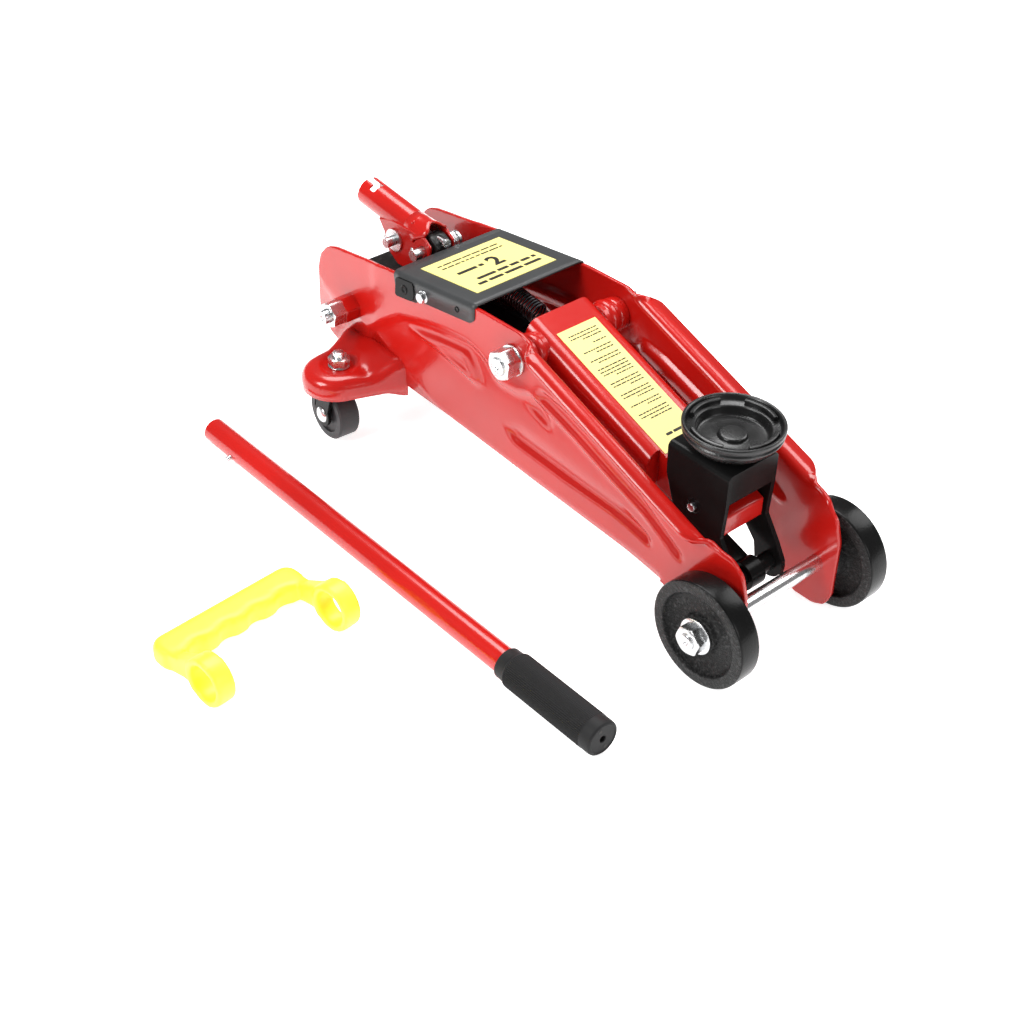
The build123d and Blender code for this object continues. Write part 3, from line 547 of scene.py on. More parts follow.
def hex_nut(sign, near, far, across, hole, turn=12.0):
    """A nut along Y, from near to far times the sign, its outer corners chamfered at far."""
    y_from, y_to, flat = sign * near, sign * far, across / 2
    rings = [(y_from, None), (y_to, None), (y_to, flat * 0.97), (y_to, hole + 0.4),
             (y_to - 0.4 * sign, hole)]
    shape = bmesh.new()
    bmesh.ops.create_circle(shape, segments=48, radius=1)
    first = list(shape.verts)
    loops = [first] + extrude_rings(shape, list(shape.edges), len(rings) - 1)[0]
    for loop, (y, radius) in zip(loops, rings):
        for vert in loop:
            angle = math.atan2(vert.co.y, vert.co.x)
            part = (angle - math.radians(turn)) % (math.pi / 3) - math.pi / 6
            edge = flat / math.cos(part)
            reach = edge if radius is None else radius
            drop = max(0.0, edge - flat * 1.01) * 0.6 if loop is loops[1] else 0.0
            vert.co = (reach * math.cos(angle), y - sign * drop, reach * math.sin(angle))
    return tidy(shape)


def thread(sign, near, far, radius):
    """A threaded bolt end along Y, chamfered, with a centre mark in its end."""
    pitch, root, mark = 1.25, radius - 0.3, 2.0
    points = [(near, 0), (near, root)]
    for turn in range(int((far - near - 1) / pitch)):
        y = near + pitch * turn
        points += [(y + pitch * 0.35, radius), (y + pitch * 0.62, radius),
                   (y + pitch * 0.98, root)]
    points += [(far - 0.3, root), (far, radius - 1.2), (far, mark), (far - 1.0, mark * 0.45),
               (far - 1.0, 0)]
    return lathe(points, 0, 32, sign=sign)


def coil(start, end, radius, wire, turns, steps=16, sides=8):
    """A coil spring of round wire from start to end."""
    start, end = Vector(start), Vector(end)
    along = end - start
    shape = bmesh.new()
    bmesh.ops.create_circle(shape, segments=sides, radius=wire)
    tilt = Matrix.Rotation(math.pi / 2, 3, "X")
    move(shape, (radius, 0, 0), tilt)
    bmesh.ops.spin(shape, geom=everything(shape), cent=(0, 0, 0), axis=(0, 0, 1),
                   dvec=(0, 0, along.length / (turns * steps)), angle=math.tau * turns,
                   steps=int(turns * steps), use_merge=False, use_duplicate=False)
    ends = [e for e in shape.edges if e.is_boundary]
    bmesh.ops.holes_fill(shape, edges=ends, sides=sides)
    move(shape, start, along.to_track_quat("Z", "Y").to_matrix())
    return tidy(shape)


def rounded_bar(y_from, y_to, radius, corner=0.6, steps=40):
    return lathe([(y_from, 0), (y_from, radius), (y_to, radius), (y_to, 0)], corner, steps)


# ---------------------------------------------------------------- side plates

PLATE_OUT = 46.8
PLATE_SHEET = 2.8
BEND_START = Vector((-172.0, 144.0))
BEND_END = Vector((-12.0, 84.7))
BEND_R = 2.0
ALONG = (BEND_END - BEND_START).normalized()
ACROSS = Vector((-ALONG.y, ALONG.x))
BEND_LENGTH = (BEND_END - BEND_START).length
FOLD_ORIGIN = BEND_START - ACROSS * (BEND_R + PLATE_SHEET)
FLANGE = 12.3
LOWER_OUTLINE = [(1, 81.5), (10, 72), (14.4, 57), (14.4, 18), (11, 8.5), (2, 4.5), (-14, 4.5),
                 (-46, 34.5), (-165, 41.5), (-252, 48), (-374, 51), (-389.5, 72), (-389.5, 103),
                 (-386.5, 114), (-379, 122.5), (-371, 125.4), (-302, 135.8), (-219, 146),
                 (-180, 147)]
PANEL = [(-343, 72), (-320, 91), (-300, 105), (-271.5, 112.6), (-248, 117), (-231, 119),
         (-220, 117), (-211, 112), (-202, 103), (-184, 104), (-171, 109), (-159, 106), (-131, 97),
         (-99, 85), (-69, 75), (-36, 60), (-30, 10), (-346, 10)]
CHANNEL = [(-166, 108), (-131, 97), (-99, 85), (-69, 75), (-36, 59), (-34, 64), (-71, 87),
           (-107, 101), (-142, 113), (-160, 116)]
ARROW = [(-300, 98), (-262, 106), (-231, 110), (-223, 101), (-218, 92), (-224, 87), (-256, 94)]
ARROW_POCKET = [(-262, 101), (-233, 105), (-225, 93), (-246, 95)]
TRIANGLE = [(-177, 97), (-164, 105), (-153, 95), (-154, 89), (-163, 91)]
# Outline, how deep it is pressed, the width of its slope, and how much of that lies outside.
RELIEF = ((CHANNEL, 3.6, 2.6, 0.2), (ARROW, -2.8, 2.4, 0.0), (ARROW_POCKET, 2.0, 2.5, 0.0),
          (TRIANGLE, 2.0, 2.2, 0.0))
# The long low groove; it is deepest at its lower edge and fades upwards.
GROOVE = [(-195, 70), (-187, 62.5), (-139, 59.5), (-97, 58.5), (-61, 53.5), (-62, 60), (-110, 78),
          (-170, 86)]
# Direction, first and last cut, and the step between cuts.
PLATE_GRID = ((ALONG, -210, 240, 1.75), (ACROSS, -115, 0, 1.15))
PLATE_SMOOTHING = 6


def inside(point, outline):
    """Distance from a point to a closed outline, positive inside it."""
    nearest, crossings = 1e9, 0
    x, z = point
    for index, (ax, az) in enumerate(outline):
        bx, bz = outline[index - 1]
        dx, dz = bx - ax, bz - az
        part = ((x - ax) * dx + (z - az) * dz) / (dx * dx + dz * dz)
        part = min(1.0, max(0.0, part))
        nearest = min(nearest, math.hypot(x - ax - part * dx, z - az - part * dz))
        if (az > z) != (bz > z) and x < (bx - ax) * (z - az) / (bz - az) + ax:
            crossings += 1
    return nearest if crossings % 2 else -nearest


def ease(value):
    """A smooth step from 0 to 1."""
    value = min(1.0, max(0.0, value))
    return value * value * (3 - 2 * value)


def press(x, z):
    """How far the press pushed the plate in at a point."""
    here = (x, z)
    panel = bpy.context.scene.jack_sizes.panel_depth
    depth = panel * ease(inside(here, PANEL) / 4.0) * ease((-30 - x) / 60)
    for outline, pressed, slope, start in RELIEF:
        depth += pressed * ease(inside(here, outline) / slope + start)
    if -197 < x < -58 and z < 90:
        floor = 62.0 if x < -187 else 62.5 - (x + 187) * 0.071
        rise = max(0.0, z - floor)
        depth += 3.6 * ease(inside(here, GROOVE) / 1.8) * (1 - ease(rise / 18))
    nose = ((x + 12.3) * 38.9 - (z - 78.1) * 29.7) / math.hypot(38.9, 29.7)
    depth += 3.4 * ease(nose / 16.0)
    depth += 0.8 * ease((-324 - x) / 9.0)
    lowest = 51.0 - (x + 374) * 0.05 if x < -40 else 0.0
    depth += 1.8 * ease(1 - (z - lowest) / 6.0) if x < -50 else 0.0
    return depth


def side_plate(sign):
    """A pressed side plate from its flat pattern: pressed in, then folded; make_sheet later makes
    it thick.
    """
    def lay(s, d):
        return tuple(FOLD_ORIGIN + ALONG * s + ACROSS * d)

    top = [lay(-1, 4.8), lay(3, 7.6), lay(11, FLANGE), lay(BEND_LENGTH - 15, FLANGE),
           lay(BEND_LENGTH - 4, 6.0)]
    shape = flat_face(top + LOWER_OUTLINE, 5.0, 6)
    for direction, start, end, step in PLATE_GRID:
        for index in range(int((end - start) / step)):
            place = FOLD_ORIGIN + direction * (start + index * step)
            cut(shape, (place.x, 0, place.y), (direction.x, 0, direction.y))
    for line in range(7):
        place = FOLD_ORIGIN + ACROSS * (BEND_R * math.pi / 12 * line)
        cut(shape, (place.x, 0, place.y), (ACROSS.x, 0, ACROSS.y))
    bmesh.ops.remove_doubles(shape, verts=shape.verts, dist=0.02)
    arc = BEND_R * math.pi / 2
    for vert in shape.verts:
        vert.co.y = press(vert.co.x, vert.co.z)
    web = [v for v in shape.verts if not v.is_boundary]
    for _ in range(PLATE_SMOOTHING):
        bmesh.ops.smooth_vert(shape, verts=web, factor=0.5, use_axis_y=True)
    for vert in shape.verts:
        here = Vector((vert.co.x, vert.co.z)) - FOLD_ORIGIN
        s, d = here.dot(ALONG), here.dot(ACROSS)
        depth = vert.co.y
        fold = ease((s + 3) / 9) * (1 - ease((s - BEND_LENGTH + 9) / 9))
        out, rise = 0.0, d
        if d > 0 and fold > 0.01:
            curve = fold / BEND_R
            bent = min(d, arc)
            rise = math.sin(curve * bent) / curve
            out = (1 - math.cos(curve * bent)) / curve
            if d > arc:
                rise += math.cos(curve * arc) * (d - arc)
                out += math.sin(curve * arc) * (d - arc)
        flat = FOLD_ORIGIN + ALONG * s + ACROSS * rise
        y = PLATE_OUT + out - depth * (1 - fold * (d > 0))
        vert.co = (flat.x, sign * y, flat.y)
    shape.normal_update()
    largest = max(shape.faces, key=lambda face: face.calc_area())
    if largest.normal.y * sign < 0:
        bmesh.ops.reverse_faces(shape, faces=shape.faces)
    return shape


class JACK_OT_side_plates(bpy.types.Operator):
    """Press the two side plates from sheet, with their panels and turned-out flanges"""

    bl_idname = "jack.side_plates"
    bl_label = "Side plates"

    def execute(self, context):
        for name, sign in SIDES:
            plate = as_object("pressed_plate_" + name, side_plate(sign), "red_paint", "chassis",
                              ("side_plate_" + name,), smooth=50)
            make_sheet(plate, PLATE_SHEET)
        return {"FINISHED"}


# ---------------------------------------------------------------- front wheels and axle

AXLE_Z = 35.4
AXLE_AT = (0, 0, AXLE_Z)
TREAD_FROM = 34.9
# Half section of a front wheel: distance from the middle of the jack, radius.
WHEEL = [(47.1, 5.5), (66.0, 5.5), (66.0, 10.5), (65.4, 12.2), (62.0, 13.4), (60.9, 16),
         (60.5, 22), (61.2, 25.6), (63.6, 27.4), (66.2, 28.0), (66.2, 34.4), (65.2, 35.4),
         (51.0, 35.4), (50.0, 34.4), (50.0, 28.0), (52.6, 27.4), (54.8, 25.6), (55.5, 22),
         (55.1, 16), (54.2, 13.4), (47.1, 12.2)]


class JACK_OT_wheels(bpy.types.Operator):
    """Cast the front wheels, each with a grainy face, a smooth tread and a raised hub"""

    bl_idname = "jack.wheels"
    bl_label = "Front wheels"

    def execute(self, context):
        for name, sign in SIDES:
            shape = lathe(WHEEL, 0.7, 96, 3, sign)
            for face in shape.faces:
                centre = face.calc_center_median()
                if math.hypot(centre.x, centre.z) > TREAD_FROM:
                    face.material_index = 1
            move(shape, AXLE_AT)
            as_object("cast_wheel_" + name, shape, "wheel wheel_tread", name + "_wheel",
                      ("front_wheel_" + name,))
        return {"FINISHED"}


# Half sections of the washers and the king pin: distance along the bolt, radius.
WHEEL_WASHER = [(66.2, 5.3), (66.2, 11.8), (67.5, 11.8), (67.9, 9.2), (67.9, 5.3)]
PIVOT_WASHER = [(46.8, 6), (46.8, 10.4), (48.7, 10.4), (48.7, 6)]
KING_WASHER = [(59.9, 4), (59.9, 7.6), (60.7, 7.6), (60.7, 4)]
KING_PIN = [(47.5, 0), (47.5, 6.6), (52.0, 6.6), (52.0, 3.95), (66.0, 3.95), (66.0, 0)]


def washer(sign, profile, corner):
    """A washer round a bolt along Y."""
    return lathe(profile, corner, sign=sign)


class JACK_OT_fasteners(bpy.types.Operator):
    """Turn the axle, bolts, nuts and washers, with chamfers and threaded ends"""

    bl_idname = "jack.fasteners"
    bl_label = "Bolts and nuts"

    def execute(self, context):
        axle = join(lathe([(-68, 0), (-68, 5.3), (68, 5.3), (68, 0)], 0, 48),
                    *[thread(sign, 68, 75.6, 5.3) for _, sign in SIDES])
        pivot = join(lathe([(-52, 0), (-52, 5.95), (52, 5.95), (52, 0)], 0, 48),
                     *[thread(sign, 52, 61, 5.95) for _, sign in SIDES])
        rear = join(lathe([(-58, 0), (-58, 4.95), (58, 4.95), (58, 0)], 0, 40),
                    *[thread(sign, 58, 72, 4.95) for _, sign in SIDES])
        pieces = (
            ("turned_axle", axle, AXLE_AT, "chrome", "front_axle"),
            ("wheel_nuts", both_sides(hex_nut, 67.6, 74.3, 17, 5.2), AXLE_AT, "zinc", "axle_nuts"),
            ("wheel_washers", both_sides(washer, WHEEL_WASHER, 0.25), AXLE_AT, "zinc",
             "axle_washers"),
            ("arm_pivot_bolt", pivot, ARM_PIVOT, "zinc", "pivot_bolt"),
            ("arm_pivot_nuts", both_sides(hex_nut, 48.8, 59.5, 18, 5.9, 26), ARM_PIVOT, "zinc",
             "pivot_nuts"),
            ("arm_pivot_washers", both_sides(washer, PIVOT_WASHER, 0.3), ARM_PIVOT, "zinc",
             "pivot_washers"),
            ("rear_bolt", rear, REAR_BOLT, "zinc", "rear_bolts"),
            ("rear_bolt_nuts", both_sides(hex_nut, 57, 67, 16, 4.9, 20), REAR_BOLT, "zinc",
             "rear_nuts"),
            ("red_spacers", both_sides(hex_nut, 45.5, 57, 17, 5.0, 20), REAR_BOLT, "red_paint",
             "rear_spacers"),
        )
        for name, shape, place, finish, node in pieces:
            as_object(name, move(shape, place), finish, "chassis", (node,))
        for name, sign in SIDES:
            place = (KING_PIN_X, sign * KING_PIN_Y, 0)
            nut = join(hex_nut(1, 60.6, 66.8, 13, 3.9, 8), lathe(KING_WASHER, 0.2, 40))
            as_object("king_pin_nut_" + name, move(nut, place, UPRIGHT), "zinc", "chassis",
                      ("king_nut_" + name,))
            pin = join(lathe(KING_PIN, 0, 32), rounded_bar(65.0, 70.5, 3.9, 0.9))
            as_object("king_pin_" + name, move(pin, place, UPRIGHT), "zinc", "chassis",
                      ("king_bolt_" + name,))
        return {"FINISHED"}


# ---------------------------------------------------------------- saddle

CUP = [(118.0, 0), (118.0, 17.5), (120.5, 23.5), (125.0, 28.0), (127.0, 29.6), (128.6, 30.7),
       (129.6, 30.7), (130.4, 29.7), (131.4, 29.7), (132.2, 31.3), (134.3, 31.3), (135.0, 30.6),
       (135.0, 29.6), (134.2, 28.7), (131.2, 27.9), (131.0, 22.9), (130.2, 22.3), (125.4, 21.6),
       (124.6, 20.6), (124.6, 9.2), (126.6, 8.6), (127.2, 7.6), (127.2, 0)]


class JACK_OT_saddle(bpy.types.Operator):
    """Cast the saddle cup with its rim, ledge, four lugs and centre boss"""

    bl_idname = "jack.saddle"
    bl_label = "Saddle"

    def execute(self, context):
        cup = lathe(CUP, 0.35, 96)
        stem = lathe([(105, 0), (105, 7.4), (118.4, 7.4), (118.4, 0)], 0.2, 32)
        lugs = []
        for quarter in range(4):
            lug = flat_face([(131.0, 24.3), (134.2, 24.5), (134.6, 25.2), (134.4, 27.2),
                             (131.0, 27.8)], 0.35, 2, "YZ")
            start = math.radians(45 + 90 * quarter + 17)
            move(lug, turn=Matrix.Rotation(start, 3, "Y"))
            bmesh.ops.spin(lug, geom=everything(lug), cent=(0, 0, 0), axis=(0, 1, 0),
                           dvec=(0, 0, 0), angle=math.radians(56), steps=14, use_merge=False,
                           use_duplicate=False)
            lugs.append(tidy(lug))
        shape = move(join(cup, stem, *lugs), (-44.5, 0, 0), UPRIGHT)
        as_object("saddle_cup_cast", shape, "saddle_gloss", "saddle", ("saddle_cup",))
        return {"FINISHED"}


# ---------------------------------------------------------------- springs


class JACK_OT_springs(bpy.types.Operator):
    """Wind the return spring and the torsion spring"""

    bl_idname = "jack.springs"
    bl_label = "Springs"

    def execute(self, context):
        start, end = Vector((-250, 0, 133)), Vector((-213, 0, 128))
        along = (end - start).normalized()
        wound = coil(start, end, 6.8, 0.8, 15)
        hook = rounded_bar(-18, 0, 0.65, 0.2, 12)
        lead = rounded_bar(37, 42, 0.65, 0.2, 12)
        turn = along.to_track_quat("Y", "Z").to_matrix()
        wire = move(join(hook, lead), start + Vector((0, 6.5, 0)), turn)
        as_object("return_spring_coil", join(wound, wire), "spring_black", "chassis",
                  ("return_spring",))
        torsion = coil((-318.5, 11.4, 132), (-318.5, 16.6, 132), 6.1, 0.85, 3, 24)
        as_object("torsion_spring_coil", torsion, "chrome", "chassis", ("torsion_spring",))
        return {"FINISHED"}


# ---------------------------------------------------------------- stickers

INK, INK_LIFT = 0.05, 0.42
LABEL_SHEET = 0.4
# Distance down the cover's label, letter height, where the line begins and how long it is.
COVER_ROWS = ((8, 1.6, 8, 52), (13, 1.6, 8, 52), (27, 3.4, 10, 22), (42, 3.2, 14, 50),
              (49, 3.2, 9, 56))
# Lines in each paragraph of the arm's label.
ARM_LINES = (3, 1, 2, 2, 4, 3, 3, 2, 3)
FIRST_LINE, LINE_PITCH, PARAGRAPH_GAP = 5.5, 2.55, 2.3
ARM_SLOPE = 0.375

def laid(face, corner, along, across):
    """Gives a flat face the ink's thickness and lays it just above a label from its corner."""
    tidy(slab(face, (0, 0, INK)), 0.0001)
    normal = along.cross(across)
    return move(face, corner + normal * INK_LIFT, Matrix((along, across, normal)).transposed())


def tile(length, width, radius, segments):
    """A flat rectangle with round corners."""
    corners = [(0, 0), (length, 0), (length, width), (0, width)]
    return flat_face(corners, radius, segments, "XY")


def border(corner, along, across, length, width):
    """A thin printed border with round corners."""
    face = tile(length, width, 2.0, 5)
    inner = bmesh.ops.inset_region(face, faces=face.faces[:], thickness=0.3, use_even_offset=True)
    ring = set(inner["faces"])
    bmesh.ops.delete(face, geom=[f for f in face.faces if f not in ring], context="FACES")
    return laid(face, corner, along, across)


def words(rng, corner, reading, down, width, height):
    """One printed line of short blocks, as long as width, read along reading."""
    blocks, place = [], 0.0
    while place < width - height:
        length = min(rng.uniform(1.6, 5.0) * height, width - place)
        block = tile(length, height, height * 0.25, 4)
        blocks.append(laid(block, corner + reading * place, reading, down))
        place += length + height * 0.55
    return blocks


class JACK_OT_stickers(bpy.types.Operator):
    """Print the two stickers with plain blocks, a border and one large figure"""

    bl_idname = "jack.stickers"
    bl_label = "Stickers"

    def execute(self, context):
        rng = random.Random(7)
        low, high = node_box("arm_label")
        along = Vector((1, 0, -ARM_SLOPE)).normalized()
        across = Vector((0, 1, 0))
        normal = along.cross(across)
        rear = Vector((low.x + LABEL_SHEET * normal.x, low.y, high.z)) - normal * LABEL_SHEET
        length = (high.x - low.x) / along.x - LABEL_SHEET
        width = high.y - low.y
        blocks = [border(rear + along * 2.2 + across * 2.2, along, across, length - 4.4,
                         width - 4.4)]
        place = FIRST_LINE
        for count in ARM_LINES:
            for line in range(count):
                start = rear + along * place + across * (width - 4.4)
                span = (width - 9) * (1.0 if line < count - 1 else rng.uniform(0.45, 0.8))
                blocks += words(rng, start, -across, along, span, 0.85)
                place += LINE_PITCH
            place += PARAGRAPH_GAP
        start = rear + along * (length - 11.5) + across * (width - 8)
        blocks += words(rng, start, -across, along, width - 16, 1.9)
        as_object("arm_label_print", join(*blocks), "print_black", "arm")

        low, high = node_box("cover_label")
        normal = COVER_RUN.cross(across)
        front = Vector((high.x, low.y, high.z)) - normal * LABEL_SHEET
        front.x = high.x
        corner = front - COVER_RUN * ((high.x - low.x) / COVER_RUN.x - LABEL_SHEET)
        blocks = []
        for place, height, begin, span in COVER_ROWS:
            start = corner + COVER_RUN * place + across * begin
            blocks += words(rng, start, across, -COVER_RUN, span, height)
        as_object("cover_label_print", join(*blocks), "print_black", "chassis")
        text = bpy.data.curves.new("figure", "FONT")
        text.body = "2"
        text.size = 19
        text.extrude = 0.03
        text.offset = 0.6
        data = worked_out(place_object("figure", text))
        shape = bmesh.new()
        shape.from_mesh(data)
        bpy.data.meshes.remove(data)
        turn = Matrix((across, -COVER_RUN, across.cross(-COVER_RUN))).transposed()
        move(shape, corner + COVER_RUN * 33 + across * 36 + normal * 0.46, turn)
        as_object("cover_label_figure", shape, "print_black", "chassis")
        return {"FINISHED"}


# ---------------------------------------------------------------- cover plate

COVER_START = Vector((-304.7, 0, 137.3))
COVER_RUN = Vector((81.8, 0, 10.8)).normalized()
COVER_UP = COVER_RUN.cross(Vector((0, 1, 0)))
COVER_FOLD = 43.4
COVER_BEND = 4.2
COVER_SHEET = 1.3
TAB = [(-301.5, 120.6), (-283.5, 123.6), (-281.5, 128), (-283, 137.4), (-300.5, 135.0)]
# Where each grommet is in side view, its radius, and how far out it sits.
GROMMETS = (((-291.6, 129.2), 3.0, 48.5), ((-239.5, 138.0), 2.0, 47.6))


def folded_cover():
    """The cover plate from its flat pattern, folded down at both sides."""
    arc = COVER_BEND * math.pi / 2
    flap = [(81.8, COVER_FOLD + arc + 1), (81.0, COVER_FOLD + arc + 6.5),
            (76.5, COVER_FOLD + arc + 9.6), (24.5, COVER_FOLD + arc + 10.0),
            (22.5, COVER_FOLD + arc + 12.6), (2.0, COVER_FOLD + arc + 12.6),
            (1.0, COVER_FOLD + arc + 1)]
    outline = [(82.5, -COVER_FOLD), (82.5, COVER_FOLD)] + flap
    outline += [(0, COVER_FOLD), (0, -COVER_FOLD)] + [(s, -t) for s, t in reversed(flap)]
    shape = flat_face(outline, 1.6, 3, "XY")
    cuts = [(i * 6.0, (1, 0, 0)) for i in range(14)]
    for side in (-1, 1):
        cuts += [(side * (COVER_FOLD + arc * i / 8), (0, 1, 0)) for i in range(9)]
        cuts += [(side * COVER_FOLD * i / 5, (0, 1, 0)) for i in range(5)]
    for place, normal in cuts:
        cut(shape, Vector(normal) * place, normal)
    bmesh.ops.remove_doubles(shape, verts=shape.verts, dist=0.01)
    for vert in shape.verts:
        s, t = vert.co.x, abs(vert.co.y)
        side = math.copysign(1, vert.co.y)
        over = t - COVER_FOLD
        y, drop = t, 0.0
        if over > 0:
            turn = min(over / COVER_BEND, math.pi / 2)
            y = COVER_FOLD + COVER_BEND * math.sin(turn)
            drop = COVER_BEND * (1 - math.cos(turn)) + max(0.0, over - arc)
        vert.co = COVER_START + COVER_RUN * s - COVER_UP * drop + Vector((0, side * y, 0))
    shape.normal_update()
    top = max(shape.faces, key=lambda face: face.calc_area())
    if top.normal.z < 0:
        bmesh.ops.reverse_faces(shape, faces=shape.faces)
    return shape


class JACK_OT_cover(bpy.types.Operator):
    """Fold the black cover plate and fit its screws, tabs and grommets"""

    bl_idname = "jack.cover"
    bl_label = "Cover plate"

    def execute(self, context):
        plate = as_object("folded_cover", folded_cover(), "cover_black", "chassis",
                          ("cover_plate",), smooth=40)
        make_sheet(plate, COVER_SHEET)
        tabs, screws, pits = [], [], []
        for _, sign in SIDES:
            tab = tidy(slab(flat_face(TAB, 2.6, 5), (0, sign * 0.9, 0)))
            tabs.append(move(tab, (0, sign * 47.6, 0)))
            for (x, z), radius, base in GROMMETS:
                ring = lathe([(base - 0.6, radius * 0.45), (base - 0.6, radius),
                              (base + 0.5, radius), (base + 0.5, radius * 0.75),
                              (base - 0.3, radius * 0.45)], 0.25, 28, sign=sign)
                tabs.append(move(ring, (x, 0, z)))
                pit = lathe([(base - 0.7, 0), (base - 0.7, radius * 0.6),
                             (base - 0.2, radius * 0.6), (base - 0.2, 0)], 0, 20, sign=sign)
                pits.append(move(pit, (x, 0, z)))
            head = lathe([(47.4, 0), (47.4, 4.4), (48.3, 4.4), (48.6, 3.2), (48.6, 0)], 0.2, 32,
                         sign=sign)
            bolt = hex_nut(sign, 48.4, 51.4, 6.4, 0.6, 10)
            cap = lathe([(50.4, 0), (50.4, 1.6), (51.5, 1.2), (51.5, 0)], 0.1, 16, sign=sign)
            screws.append(move(join(head, bolt, cap), (-272.8, 0, 132)))
        as_object("cover_tabs", join(*tabs), "black_paint", "chassis")
        as_object("cover_pits", join(*pits), "print_black", "chassis")
        as_object("cover_screw_heads", join(*screws), "zinc", "chassis", ("cover_screws",))
        return {"FINISHED"}


# ---------------------------------------------------------------- castor brackets

NOSE = (-334.5, 75.0, 23.3)
SHELL_BACK, SHELL_FRONT, SHELL_PLATE = -362.0, -297.0, 41.6
SHELL_TOP, SHELL_ROUND, SHELL_SHEET = 59.6, 7.5, 2.4


def bracket_plan():
    """Plan of a castor bracket: tangents from its two corners to the round nose."""
    x, y, radius = NOSE
    points = [(SHELL_BACK, SHELL_PLATE)]
    angles = []
    for corner, side in ((SHELL_BACK, 1), (SHELL_FRONT, -1)):
        dx, dy = corner - x, SHELL_PLATE - y
        reach = math.hypot(dx, dy)
        angles.append(math.atan2(dy, dx) - side * math.acos(radius / reach))
    start, end = angles[0] % math.tau, angles[1] % math.tau
    if end > start:
        end -= math.tau
    steps = 20
    for step in range(steps + 1):
        turn = start + (end - start) * step / steps
        points.append((x + radius * math.cos(turn), y + radius * math.sin(turn)))
    return points + [(SHELL_FRONT, SHELL_PLATE)]


def bracket_shell(sign):
    """A pressed castor bracket: a dished, rounded top that rises to the plate, and a skirt."""
    plan = bracket_plan()
    shape = flat_face(plan, 0, plane="XY")
    for index in range(48):
        for normal, start in (((1, 0, 0), -362), ((0, 1, 0), 44)):
            cut(shape, Vector(normal) * (start + 1.4 * index), normal)
    for _ in range(3):
        bmesh.ops.inset_region(shape, faces=shape.faces[:], thickness=0.35, use_even_offset=True)
    rim = [e for e in shape.edges if e.is_boundary
           and not all(abs(v.co.y - SHELL_PLATE) < 0.01 for v in e.verts)]
    for vert in shape.verts:
        x, y = vert.co.x, vert.co.y
        reach = min(distance_to_chain((x, y), plan), SHELL_ROUND)
        lost = SHELL_ROUND - math.sqrt(max(0.0, SHELL_ROUND ** 2 - (SHELL_ROUND - reach) ** 2))
        rise = 9.5 * ease((66 - y) / 24)
        from_pin = math.hypot(x - KING_PIN_X, y - KING_PIN_Y)
        dish = 0.9 * ease((from_pin - 10.5) / 3.0) * (1 - ease((from_pin - 14) / 9.0))
        vert.co.z = SHELL_TOP + dish - lost + rise
    (skirt, hem), _ = extrude_rings(shape, rim, 2)
    for vert in skirt:
        vert.co.z = 49.5
    for vert in hem:
        vert.co.z = 45.4 - 4.5 * ease((vert.co.x + 303) / 6)
    if sign < 0:
        bmesh.ops.scale(shape, vec=(1, -1, 1), verts=shape.verts)
    bmesh.ops.recalc_face_normals(shape, faces=shape.faces)
    top = max(shape.faces, key=lambda face: face.normal.z ** 2)
    if top.normal.z < 0:
        bmesh.ops.reverse_faces(shape, faces=shape.faces)
    return shape


def distance_to_chain(point, chain):
    """Distance from a point to an open chain of points."""
    x, y = point
    nearest = 1e9
    for (ax, ay), (bx, by) in zip(chain, chain[1:]):
        dx, dy = bx - ax, by - ay
        part = min(1.0, max(0.0, ((x - ax) * dx + (y - ay) * dy) / (dx * dx + dy * dy)))
        nearest = min(nearest, math.hypot(x - ax - part * dx, y - ay - part * dy))
    return nearest


class JACK_OT_castors(bpy.types.Operator):
    """Press the castor brackets, with a dish round each king pin and a rounded skirt"""

    bl_idname = "jack.castors"
    bl_label = "Castor brackets"

    def execute(self, context):
        for name, sign in SIDES:
            shell = as_object("castor_shell_" + name, bracket_shell(sign), "red_paint",
                              "chassis", ("caster_bracket_" + name,), smooth=60)
            make_sheet(shell, SHELL_SHEET)
            low, high = node_box("caster_axle_" + name)
            middle, half = (low + high) / 2, (high.y - low.y) / 2 - 0.4
            axle = lathe([(-half, 0), (-half, 3.4), (-half + 0.9, 5.2), (-half + 1.8, 6),
                          (-half + 1.8, 3), (half - 1.8, 3), (half - 1.8, 6),
                          (half - 0.9, 5.2), (half, 3.4), (half, 0)], 0.25, 40)
            turned = Matrix.Rotation(math.radians(-4), 3, "Z")
            as_object("castor_rivet_" + name, move(axle, middle, turned), "zinc",
                      name + "_caster", ("caster_axle_" + name,))
        return {"FINISHED"}


# ---------------------------------------------------------------- lever and its grip

LEVER_START = Vector((-386.0, -142.6, 8.6))
LEVER_YAW = math.atan2(-7.9, 397.0)
LEVER_LENGTH = math.hypot(397.0, 7.9)
GRIP_START = LEVER_LENGTH - 83.6
LEVER_RISE = math.atan2(3.2, GRIP_START)
LEVER_RUN = Vector((math.cos(LEVER_YAW) * math.cos(LEVER_RISE),
                    math.sin(LEVER_YAW) * math.cos(LEVER_RISE), math.sin(LEVER_RISE)))


